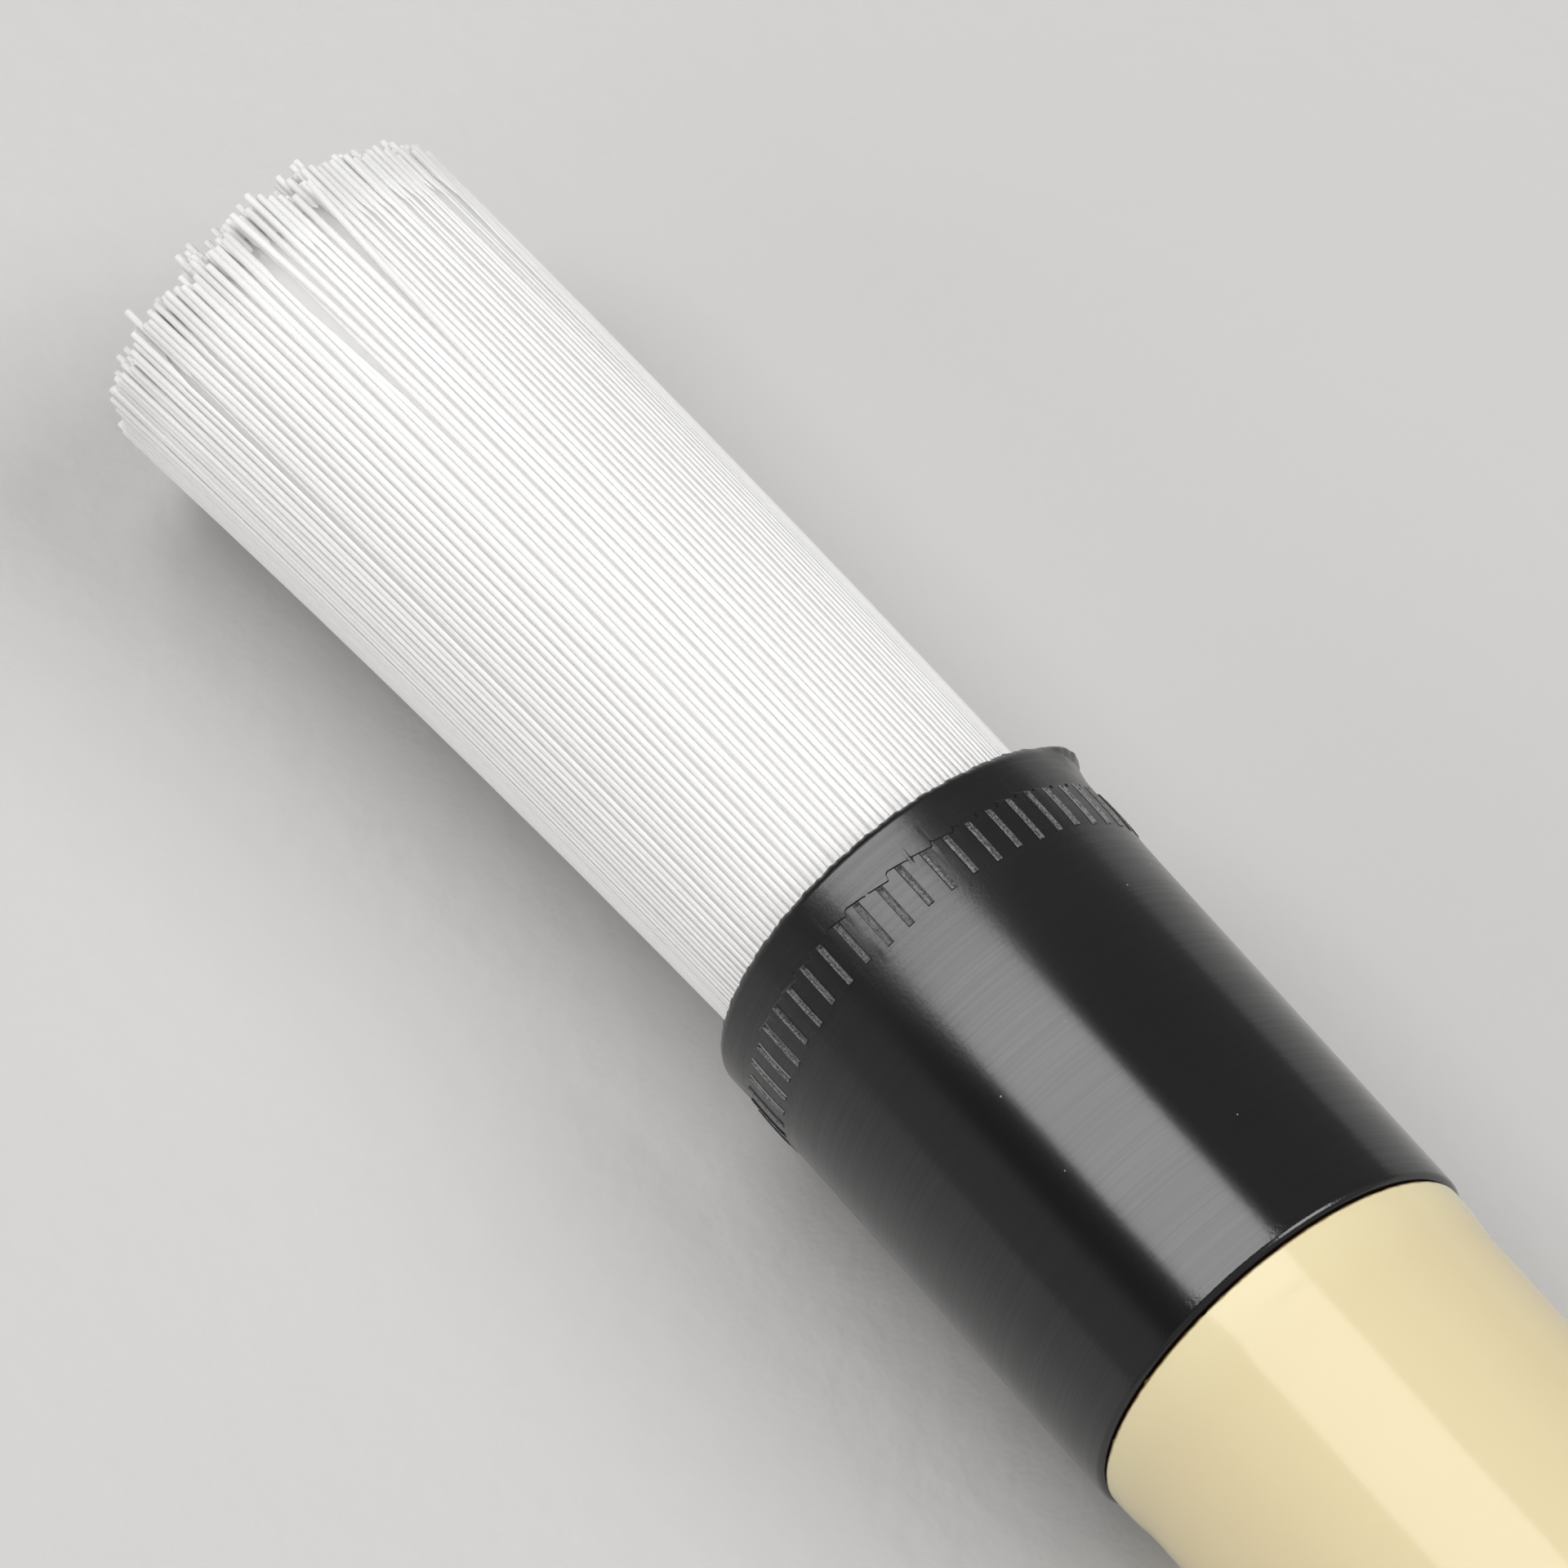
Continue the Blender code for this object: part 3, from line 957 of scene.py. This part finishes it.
    def _bent(self, straight: np.ndarray, root: Vector, draw: random.Random) -> np.ndarray:
        """A filament's points, moved from the axis to its own place and path.

        Args:
            straight: The points of the straight filament on the axis.
            root: Where it stands in the bundle, off the axis.
            draw: The source of chance.

        Returns:
            The moved points.
        """
        clump = noise.noise_vector(root / self.clump_size + Vector((self.seed, 0, 0)))
        step = round(noise.noise(root / self.step_size) * 5) * self.step_height
        stray = self.stray_reach if draw.random() < self.stray_share else self.wander
        turn = draw.uniform(0, FULL_TURN)
        longer = step + draw.uniform(-1, 1) * self.uneven + draw.random() ** 12 * self.longest_extra
        longer -= self.dome * (root.length / self.root_radius) ** 6
        share = np.clip(self.places.mouth_x - straight[:, 0], 0, None) / self.free_length
        drift = np.array(clump) * self.clump_drift
        aside = np.array((0, math.sin(turn), math.cos(turn))) * stray
        offset = np.array(root) + share[:, None] ** 2 * drift + share[:, None] ** 6 * aside
        bent = straight + offset
        bent[:, 0] = straight[:, 0]
        bent = self._spread(bent)
        bent[:, 0] -= share * longer
        return bent


@dataclass
class Ferrule:
    """The black tube whose mouth is rolled onto the tuft."""

    places: Places
    radius: float = 5.98 * MM
    wall: float = 0.7 * MM
    edge: float = 0.21 * MM
    grooves: int = 52
    segments_each: int = 14
    groove_faces: int = 4
    groove_rear: float = 2.75 * MM
    crease: float = 1.36 * MM
    rim_drawn: float = 0.26 * MM
    burr_height: float = 0.34 * MM
    seed: int = 5

    def build(self, finish: FerruleFinish) -> None:
        """Models and dresses the tube.

        Args:
            finish: The black plastic.
        """
        piece = turned("ferrule_tube", self._section(), self.places.axis_z, self.grooves * self.segments_each)
        self._roll_grooves(piece)
        rework(piece, self.places.axis_z, self._worn)
        finish_piece(piece, [finish.gloss(), finish.rolled()], ["ferrule"], body=Body.PEN)

    def _section(self) -> list[Point]:
        """The tube's section: the collar, the crease, the rolled zone's bulge, and the plain tube behind."""
        start, end = self.places.mouth_x, self.places.ferrule_end_x
        bore = self.radius - self.wall
        side = [
            (0.0, -0.14, 0.12),
            (0.16, 0.015, 0.3),
            (0.70, 0.005, 0.3),
            (self.crease / MM - 0.06, -0.02),
            (self.crease / MM, 0.025),
            (1.60, 0.035),
            (1.90, 0.04),
            (2.20, 0.04),
            (2.50, 0.035),
            (2.75, 0.02),
            (3.10, 0.005, 0.5),
            (3.60, 0.0),
        ]
        corners = [
            (start + behind * MM, self.radius + rise * MM, *(fillet * MM for fillet in rounding))
            for behind, rise, *rounding in side
        ]
        corners += [(end, self.radius, self.edge), (end, bore), (start, bore, 0.05 * MM)]
        return outline(corners, closed=True, longest=0.6 * MM)

    def _in_groove(self, centres: np.ndarray) -> np.ndarray:
        """Which of the faces with these centres lie in a groove.

        Args:
            centres: The centres, one row each.

        Returns:
            One truth for each face.
        """
        behind = centres[:, 0] - self.places.mouth_x
        up = centres[:, 2] - self.places.axis_z
        outside = np.hypot(centres[:, 1], up) > self.radius - self.wall / 2
        off_middle = np.abs((np.arctan2(centres[:, 1], up) / FULL_TURN * self.grooves) % 1 - 0.5)
        along = (behind > self.crease) & (behind < self.groove_rear)
        return along & outside & (off_middle < (self.groove_faces / 2 - 0.1) / self.segments_each)

    def _roll_grooves(self, piece: bpy.types.Object) -> None:
        """Sinks the roller's grooves into the outer faces, each with a raised lip round it.

        Args:
            piece: The turned tube.
        """
        picked = pick_faces(piece, self._in_groove)
        bpy.ops.mesh.inset(thickness=0.015 * MM, depth=0.03 * MM)
        bpy.ops.mesh.inset(thickness=0.045 * MM, depth=-0.12 * MM)
        bpy.ops.mesh.select_more()
        bpy.ops.object.material_slot_add()
        bpy.ops.object.material_slot_add()
        piece.active_material_index = 1
        bpy.ops.object.material_slot_assign()
        bpy.ops.object.mode_set(mode="OBJECT")
        log.info("ferrule grooves: %d faces rolled", picked)

    def _worn(self, x: np.ndarray, radius: np.ndarray, angle: np.ndarray) -> tuple:
        """Makes each groove a little different, and tears the rim.

        Args:
            x: How far along the pen each point is.
            radius: How far it is from the axis.
            angle: Its angle from +Z towards +Y.

        Returns:
            The same three, changed.
        """
        draw = np.random.default_rng(self.seed)
        pitch = FULL_TURN / self.grooves
        behind = x - self.places.mouth_x
        place = (angle / pitch) % self.grooves
        number = np.floor(place).astype(int) % self.grooves
        within = place % 1
        outside = smooth(radius, self.radius - 0.55 * MM, self.radius - 0.25 * MM)
        front = draw.uniform(-0.07, 0.07, self.grooves)[number] * MM
        rear = draw.uniform(-0.06, 0.06, self.grooves)[number] * MM
        slant = (within - 0.5) * 0.13 * MM
        at_front = smooth(behind, 1.0 * MM, 1.25 * MM) * (1 - smooth(behind, 1.6 * MM, 1.9 * MM))
        at_rear = smooth(behind, 2.2 * MM, 2.6 * MM) * (1 - smooth(behind, 2.9 * MM, 3.2 * MM))
        edge_of_panel = smooth(np.abs(within - 0.5), 0.5, 0.4)
        x = x + outside * ((front * edge_of_panel + slant) * at_front + rear * edge_of_panel * at_rear)
        deeper = draw.uniform(-0.25, 0.25, self.grooves)[number]
        sunk = np.clip(self.radius - radius, 0, 0.1 * MM) * (at_front + at_rear > 0)
        radius = radius - sunk * deeper * outside
        ragged = 0.012 * np.sin(angle * 37) + 0.01 * np.sin(angle * 83 + 1) + 0.008 * np.sin(angle * 151 + 2)
        x = x + ragged * MM * (1 - smooth(behind, 0.0, 0.25 * MM))
        start, most, least, end = (math.radians(value) for value in (15, 62, 82, 120))
        drawn = smooth(angle, start, most) * (1 - smooth(angle, least, end))
        x = x - self.rim_drawn * drawn * (1 - smooth(behind, 0.0, 1.1 * MM))
        swell = 0.012 * np.sin(angle * 3 + 0.6) + 0.008 * np.sin(angle * 7)
        radius = radius + swell * MM * (1 - smooth(behind, 0.4 * MM, 1.3 * MM))
        return x, radius + self._burr(behind, angle), angle

    def _burr(self, behind: np.ndarray, angle: np.ndarray) -> np.ndarray:
        """How far the flap torn from the rim curls outwards.

        Args:
            behind: How far behind the mouth each point is.
            angle: Its angle from +Z towards +Y.

        Returns:
            The rise of each point.
        """
        start, crest, end = (math.radians(value) for value in (50, 70, 80))
        along = smooth(angle, start, crest) * (1 - smooth(angle, end - 0.03, end + 0.02))
        ripple = 1 + 0.05 * np.sin(angle * 31) + 0.03 * np.sin(angle * 67)
        return self.burr_height * along * ripple * (1 - smooth(behind, 0.02 * MM, 0.42 * MM))


@dataclass
class Barrel:
    """The cream handle: a crisp lip at the ferrule, a shallow shoulder and a slight belly."""

    places: Places
    lip_radius: float = 5.86 * MM
    radius: float = 5.76 * MM
    belly: float = 0.14 * MM
    wall: float = 1.5 * MM
    tenon_radius: float = 5.2 * MM
    tenon_length: float = 6.1 * MM
    gap: float = 0.04 * MM
    segments: int = 256
    belly_start: float = 1.8 * MM
    belly_stations: int = 24
    notch_width: float = 0.012
    notches: tuple[Point, ...] = (
        (-74, -0.05), (-52, -0.06), (-28, 0.04), (-12, -0.03), (31, 0.03), (64, -0.04), (140, 0.04)
    )

    def build(self, finish: LacquerFinish) -> None:
        """Models and dresses the handle.

        Args:
            finish: The cream lacquer.
        """
        piece = turned("barrel_lacquered", self._section(), self.places.axis_z, self.segments)
        rework(piece, self.places.axis_z, self._nicked)
        finish_piece(piece, [finish.material()], ["barrel"], body=Body.PEN)

    def _section(self) -> list[Point]:
        """The handle's section, from the closed end of its tenon to the bottom of its bore."""
        front, end = self.places.ferrule_end_x + self.gap, self.places.barrel_end_x
        closed_end = front - self.tenon_length + self.wall
        bore = self.radius - self.wall
        corners = [
            (front - self.tenon_length, 0),
            (front - self.tenon_length, self.tenon_radius, 0.3 * MM),
            (front, self.tenon_radius, 0.08 * MM),
            (front, self.lip_radius, 0.055 * MM),
            (front + 0.75 * MM, self.lip_radius, 5.0 * MM),
            (front + 1.50 * MM, self.radius + 0.002 * MM, 5.0 * MM),
        ]
        start = front + self.belly_start
        for step in range(1, self.belly_stations):
            share = step / self.belly_stations
            rise = self.belly * math.sin(share * math.pi)
            corners.append((start + share * (end - start), self.radius + rise))
        corners += [(end, self.radius, 0.3 * MM), (end, bore, 0.15 * MM), (closed_end, bore), (closed_end, 0)]
        return outline(corners, step=math.radians(4))

    def _nicked(self, x: np.ndarray, radius: np.ndarray, angle: np.ndarray) -> tuple:
        """Leaves small bumps and notches in the lip's front edge.

        Args:
            x: How far along the pen each point is.
            radius: How far it is from the axis.
            angle: Its angle from +Z towards +Y.

        Returns:
            The same three, changed.
        """
        front = self.places.ferrule_end_x + self.gap
        outside = smooth(radius, self.lip_radius - 0.2 * MM, self.lip_radius)
        near = (1 - smooth(x - front, 0.0, 0.12 * MM)) * outside
        notches = sum(
            depth * np.exp(-(((angle - math.radians(turn)) / self.notch_width) ** 2))
            for turn, depth in self.notches
        )
        ragged = 0.006 * np.sin(angle * 53) + 0.005 * np.sin(angle * 89 + 2)
        return x + (notches + ragged) * MM * near, radius, angle


@dataclass
class TurnedPieces:
    """What the rear end and its cap share: they are turned about the pen's axis."""

    places: Places
    segments: int = 160
    gap: float = 0.1 * MM

    def _turn(self, name: str, corners: Sequence[tuple], **shape: Union[bool, float]) -> bpy.types.Object:
        """A turned piece, from its section's corners and what outline takes with them."""
        return turned(name, outline(corners, **shape), self.places.axis_z, self.segments)


@dataclass
class CleaningTip(TurnedPieces):
    """The rear end under the cap: a holder with a seal ring, a rubber neck, and a head with a suede pad."""

    barrel_radius: float = 5.76 * MM
    plug_radius: float = 4.16 * MM
    plug_length: float = 9.0 * MM
    flange: float = 1.2 * MM
    spigot_radius: float = 4.95 * MM
    spigot_length: float = 7.0 * MM
    seal_place: float = 3.8 * MM
    seal_radius: float = 4.6 * MM
    seal_section: float = 0.45 * MM
    seal_faces: int = 20
    neck_radius: float = 1.6 * MM
    waist_radius: float = 1.15 * MM
    neck_length: float = 5.0 * MM
    neck_base: float = 3.4 * MM
    neck_head: float = 1.9 * MM
    neck_ribs: int = 5
    rib_height: float = 0.10 * MM
    neck_stations: int = 40
    boss_radius: float = 2.4 * MM
    boss_length: float = 2.2 * MM
    disc_radius: float = 3.6 * MM
    disc_thickness: float = 1.2 * MM
    pad_radius: float = 3.5 * MM
    pad_thickness: float = 0.9 * MM
    pad_dish: float = 0.2 * MM

    def build(self, plastic: MouldedFinish, rubber: RubberFinish, suede: NapFinish) -> None:
        """Models and dresses the five pieces.

        Args:
            plastic: What the holder and the head are moulded in.
            rubber: What the ring and the neck are.
            suede: The pad's cloth.
        """
        black, soft = plastic.material(), rubber.material()
        self._holder(black)
        self._seal(soft)
        self._neck(soft)
        self._head(black)
        self._pad(suede.material())

    def _holder(self, black: bpy.types.Material) -> None:
        """The plug in the barrel, its flange, and the spigot with the seal's groove.

        Args:
            black: Its material.
        """
        front = self.places.barrel_end_x + self.gap
        seal = front + self.seal_place
        spigot = front + self.flange
        end = spigot + self.spigot_length
        half = self.seal_section + self.gap
        floor = self.seal_radius - self.seal_section - 0.05 * MM
        socket = self.neck_radius + self.gap
        corners = [
            (front - self.plug_length, 0),
            (front - self.plug_length, self.plug_radius, 0.35 * MM),
            (front, self.plug_radius, 0.05 * MM),
            (front, self.barrel_radius, 0.15 * MM),
            (spigot, self.barrel_radius, 0.15 * MM),
            (spigot, self.spigot_radius, 0.1 * MM),
            (seal - half, self.spigot_radius, 0.08 * MM),
            (seal - half, floor, 0.1 * MM),
            (seal + half, floor, 0.1 * MM),
            (seal + half, self.spigot_radius, 0.08 * MM),
            (end, self.spigot_radius, 0.35 * MM),
            (end, self.boss_radius + 0.9 * MM, 0.15 * MM),
            (end - 0.5 * MM, self.boss_radius + 0.4 * MM, 0.2 * MM),
            (end - 0.5 * MM, self.boss_radius + 0.1 * MM, 0.1 * MM),
            (end, self.boss_radius - 0.1 * MM, 0.1 * MM),
            (end, socket, 0.08 * MM),
            (end - self.neck_base - self.gap, socket),
            (end - self.neck_base - self.gap, 0),
        ]
        piece = self._turn("holder_turned", corners)
        finish_piece(piece, [black], ["tip_holder"], body=Body.PEN)

    def _seal(self, soft: bpy.types.Material) -> None:
        """The ring whose grip holds the cap on.

        Args:
            soft: Its material.
        """
        centre = self.places.barrel_end_x + self.gap + self.seal_place
        points = []
        for step in range(self.seal_faces + 1):
            turn = step / self.seal_faces * FULL_TURN
            across, out = self.seal_section * math.cos(turn), self.seal_section * math.sin(turn)
            points.append((centre + across, self.seal_radius + out))
        piece = turned("seal_ring_moulded", points, self.places.axis_z, self.segments)
        finish_piece(piece, [soft], ["cap_seal_ring"], Shading.SOFT, Body.PEN)

    def _neck(self, soft: bpy.types.Material) -> None:
        """The flexing neck, with moulded ribs towards its waist.

        Args:
            soft: Its material.
        """
        half = self.neck_length / 2
        pivot = self.places.pivot_x
        corners = [(pivot - half - self.neck_base, 0), (pivot - half - self.neck_base, self.neck_radius)]
        for step in range(self.neck_stations + 1):
            share = step / self.neck_stations
            bow = math.sin(share * math.pi)
            waist = (self.neck_radius - self.waist_radius) * bow**2
            rib = self.rib_height * bow * (0.5 - 0.5 * math.cos(share * self.neck_ribs * FULL_TURN))
            corners.append((pivot + (2 * share - 1) * half, self.neck_radius - waist + rib * (waist > 0)))
        corners += [(pivot + half + self.neck_head, self.neck_radius), (pivot + half + self.neck_head, 0)]
        piece = self._turn("neck_rubber", corners, longest=0.4 * MM)
        finish_piece(piece, [soft], ["tip_neck"], Shading.SOFT)
        start, end = ((pivot + side * half, 0, self.places.axis_z) for side in (-1, 1))
        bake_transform(piece)

    def _head(self, black: bpy.types.Material) -> None:
        """The disc that backs the pad, with the boss that the neck is set in.

        Args:
            black: Its material.
        """
        front = self.places.pivot_x + self.neck_length / 2
        socket = self.neck_radius + self.gap
        disc = front + self.boss_length
        corners = [
            (front + self.neck_head + self.gap, 0),
            (front + self.neck_head + self.gap, socket),
            (front, socket, 0.06 * MM),
            (front, self.boss_radius, 0.2 * MM),
            (disc - 0.35 * MM, self.boss_radius, 0.3 * MM),
            (disc, self.disc_radius, 0.2 * MM),
            (disc + self.disc_thickness, self.disc_radius, 0.2 * MM),
            (disc + self.disc_thickness, 0),
        ]
        piece = self._turn("head_disc", corners)
        finish_piece(piece, [black], ["tip_head"], body=Body.TIP)

    @property
    def pad_back(self) -> float:
        """Where the pad's back lies along the pen."""
        disc = self.places.pivot_x + self.neck_length / 2 + self.boss_length
        return disc + self.disc_thickness + self.gap

    def _matted(self, x: np.ndarray, radius: np.ndarray, angle: np.ndarray) -> tuple:
        """Makes the pad's face a little uneven, most of all at its rim.

        Args:
            x: How far along the pen each point is.
            radius: How far it is from the axis.
            angle: Its angle from +Z towards +Y.

        Returns:
            The same three, changed.
        """
        uneven = 0.02 * np.sin(angle * 5 + radius / MM) + 0.012 * np.sin(angle * 11 - 2 * radius / MM)
        facing = smooth(x, self.pad_back + 0.3 * MM, self.pad_back + 0.7 * MM)
        return x + uneven * MM * facing * radius / self.pad_radius, radius, angle

    def _pad(self, suede: bpy.types.Material) -> None:
        """The suede pad: a soft disc with a full, rounded edge and a dished face.

        Args:
            suede: Its material.
        """
        back = self.pad_back
        face = back + self.pad_thickness
        corners = [
            (back, 0),
            (back, self.pad_radius, 0.12 * MM),
            (face, self.pad_radius, 0.38 * MM),
            (face - self.pad_dish * 0.35, self.pad_radius * 0.62, 1.5 * MM),
            (face - self.pad_dish, 0.4 * MM, 1.0 * MM),
            (face - self.pad_dish, 0),
        ]
        piece = self._turn("pad_suede", corners, longest=0.2 * MM)
        rework(piece, self.places.axis_z, self._matted)
        finish_piece(piece, [suede], ["cleaning_pad"], Shading.SOFT, Body.TIP)


@dataclass
class Cap(TurnedPieces):
    """The pull-off cap: a satin tube, the plug that closes it, and the felt that recharges the pad."""

    segments: int = 256
    radius: float = 6.0 * MM
    wall: float = 0.9 * MM
    tube_length: float = 23.303 * MM
    plug_depth: float = 3.0 * MM
    plug_head: float = 1.5 * MM
    felt_thickness: float = 2.9 * MM
    felt_segments: int = 128
    ribs: int = 5
    rib_start: float = 2.2 * MM
    rib_pitch: float = 0.7 * MM

    def build(self, plastic: MouldedFinish, felt: NapFinish) -> None:
        """Models and dresses the three pieces.

        Args:
            plastic: What the tube and the plug are moulded in.
            felt: The disc's felt.
        """
        black = plastic.material()
        self._tube(black)
        self._plug(black)
        self._felt(felt.material())

    def _tube(self, black: bpy.types.Material) -> None:
        """The tube, with a band of fine grip rings near its mouth.

        Args:
            black: Its material.
        """
        start = self.places.cap_x
        end = start + self.tube_length
        bore = self.radius - self.wall
        corners = [(start, bore, 0.25 * MM), (start, self.radius, 0.3 * MM)]
        for rib in range(self.ribs):
            middle = start + self.rib_start + self.rib_pitch * rib
            corners += [
                (middle - 0.14 * MM, self.radius, 0.06 * MM),
                (middle - 0.06 * MM, self.radius - 0.09 * MM, 0.05 * MM),
                (middle + 0.06 * MM, self.radius - 0.09 * MM, 0.05 * MM),
                (middle + 0.14 * MM, self.radius, 0.06 * MM),
            ]
        corners += [(end, self.radius, 0.12 * MM), (end, bore, 0.05 * MM)]
        piece = self._turn("cap_tube_satin", corners, closed=True, longest=2 * MM)
        finish_piece(piece, [black], ["cap_tube"], body=Body.CAP)

    def _plug(self, black: bpy.types.Material) -> None:
        """The end plug, with a shallow ring turned in its flat end.

        Args:
            black: Its material.
        """
        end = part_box("cap_end_plug")[1].x
        head = end - self.plug_head
        inner = self.radius - self.wall - self.gap
        corners = [
            (head - self.gap - self.plug_depth, 0),
            (head - self.gap - self.plug_depth, inner, 0.2 * MM),
            (head, inner, 0.05 * MM),
            (head, self.radius, 0.12 * MM),
            (end, self.radius, 0.6 * MM),
            (end, 3.4 * MM, 0.08 * MM),
            (end - 0.12 * MM, 3.3 * MM, 0.06 * MM),
            (end - 0.12 * MM, 2.9 * MM, 0.06 * MM),
            (end, 2.8 * MM, 0.08 * MM),
            (end, 0),
        ]
        piece = self._turn("cap_plug_satin", corners, longest=0.8 * MM)
        finish_piece(piece, [black], ["cap_end_plug"], body=Body.CAP)

    def _felt(self, felt: bpy.types.Material) -> None:
        """The felt disc, packed with dry cleaning compound and dented by the pad.

        Args:
            felt: Its material.
        """
        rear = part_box("charging_pad")[1].x
        front = rear - self.felt_thickness
        radius = self.radius - self.wall - self.gap
        corners = [
            (front + 0.18 * MM, 0),
            (front + 0.15 * MM, 2.6 * MM, 1.0 * MM),
            (front, 3.9 * MM, 0.8 * MM),
            (front, radius, 0.25 * MM),
            (rear, radius, 0.15 * MM),
            (rear, 0),
        ]
        points = outline(corners, longest=0.3 * MM)
        piece = turned("cap_felt", points, self.places.axis_z, self.felt_segments)
        finish_piece(piece, [felt], ["charging_pad"], Shading.SOFT, Body.CAP)


# ---------------------------------------------------------------- the studio


@dataclass(frozen=True)
class Softbox:
    """A soft light: which way it stands from the brush, how far, how large and how bright.

    One that isn't mirrored fills shadows without showing in glossy skins.
    """

    name: str
    way: Triple
    distance: float
    length: float
    width: float
    radiance: float
    mirrored: bool = True


SOFTBOXES = (
    Softbox("softbox_above", (-0.36, -0.182, 0.915), 0.60, 0.36, 0.52, 5.2),
    Softbox("softbox_aside", (0.37, 0.48, 0.79), 0.60, 0.32, 0.32, 5.9),
    Softbox("fill_near", (-0.1, -0.92, 0.35), 0.60, 0.6, 0.4, 1.7, mirrored=False),
)


@dataclass
class Studio:
    """The pale table, the soft lights, the dim room round them, and the camera."""

    places: Places
    azimuth: float = math.radians(52.449)
    elevation: float = math.radians(60.967)
    roll: float = math.radians(-0.752)
    aim_ahead: float = 4.99 * MM
    aim_aside: float = 0.13 * MM
    distance: float = 412.3 * MM
    lens: float = 363.26
    room: Colour = (0.06, 0.06, 0.061)
    wall: Colour = (0.38, 0.38, 0.384)
    far_room: Colour = (0.22, 0.22, 0.222)
    behind_camera: Colour = (0.36, 0.36, 0.36)
    backdrop: Colour = (0.62, 0.615, 0.61)

    def build(self) -> None:
        """Sets the table, the lights and the camera."""
        self._table()
        for box in SOFTBOXES:
            self._softbox(box)
        self._room()
        self._camera()

    def _table(self) -> None:
        """The board that the pen lies on."""
        bpy.ops.object.select_all(action="DESELECT")
        bpy.ops.mesh.primitive_plane_add(size=4, location=(0, 0, 0))
        table = bpy.context.object
        table.name = "table"
        table.data.materials.append(TableFinish().material())

    def _softbox(self, box: Softbox) -> None:
        """One soft light, turned to face the pen.

        Args:
            box: The light.
        """
        way = Vector(box.way).normalized()
        aim = Vector((self.places.mouth_x, 0, self.places.axis_z))
        bpy.ops.object.light_add(type="AREA", location=aim + way * box.distance)
        light = bpy.context.object
        light.name = box.name
        along = Vector((0, 1, 0)).cross(way).normalized()
        light.rotation_euler = Matrix((along, way.cross(along), way)).transposed().to_euler()
        light.data.shape = "RECTANGLE"
        light.data.size = box.length
        light.data.size_y = box.width
        light.data.energy = box.radiance * math.pi * box.length * box.width
        light.visible_glossy = box.mirrored

    def _room(self) -> None:
        """The dim room, with a pale wall low on one side, which the camera sees as a plain backdrop."""
        world = bpy.data.worlds.new("room")
        bpy.context.scene.world = world
        world.use_nodes = True
        graph = Graph(world.node_tree)
        seen = graph.node("ShaderNodeLightPath", {}, {}, "Is Camera Ray")
        along, across, up = graph.parts(graph.node("ShaderNodeTexCoord", {}, {}, "Generated"))
        lean = across.turn_from(up)
        near_side = lean.rises(math.radians(-56), math.radians(-66)).tints(self.room, self.wall)
        walls = lean.rises(math.radians(15), math.radians(30)).tints(near_side, self.far_room)
        walls = along.rises(0.0, 0.35).tints(walls, self.behind_camera)
        backdrop = graph.node("ShaderNodeBackground", {}, {"Color": seen.tints(walls, self.backdrop)})
        graph.node("ShaderNodeOutputWorld", {}, {"Surface": backdrop})
        bpy.context.scene.view_settings.view_transform = "Standard"

    def _camera(self) -> None:
        """The camera, above and beside the handle, looking at the tuft."""
        level = math.cos(self.elevation)
        flat = Vector((math.cos(self.azimuth), math.sin(self.azimuth), 0))
        back = Vector((flat.y * level, -flat.x * level, math.sin(self.elevation)))
        steep = back.cross(flat)
        right = flat * math.cos(self.roll) + steep * math.sin(self.roll)
        up = steep * math.cos(self.roll) - flat * math.sin(self.roll)
        aim = Vector((self.places.mouth_x - self.aim_ahead, self.aim_aside, self.places.axis_z))
        bpy.ops.object.camera_add(location=aim + back * self.distance)
        camera = bpy.context.object
        camera.rotation_euler = Matrix((right, up, back)).transposed().to_euler()
        camera.data.sensor_width = 36
        camera.data.lens = self.lens
        camera.data.clip_start = 0.01
        camera.data.clip_end = 20
        bpy.context.scene.camera = camera


def main() -> None:
    """Builds the pen and the studio round it."""
    logging.basicConfig(level=logging.INFO, format="%(name)s %(message)s")
    places = Places.from_frame()
    Tuft(places).build(NylonFinish())
    Ferrule(places).build(FerruleFinish(places.mouth_x, places.ferrule_end_x - places.mouth_x))
    Barrel(places).build(LacquerFinish(places.ferrule_end_x))
    plastic = MouldedFinish("satin_black")
    suede = NapFinish("grey_suede", (0.045, 0.045, 0.05), (0.16, 0.16, 0.165), 0.09 * MM, 0.05 * MM)
    felt = NapFinish("compound_felt", (0.012, 0.012, 0.012), (0.07, 0.068, 0.066), 0.12 * MM, 0.07 * MM)
    CleaningTip(places).build(plastic, RubberFinish(), suede)
    Cap(places).build(plastic, felt)
    resin = frame["nodes"]["resin_plug"]
    resin.data.materials.clear()
    resin.data.materials.append(ResinFinish().material())
    Studio(places).build()


if __name__ == "__main__":
    main()
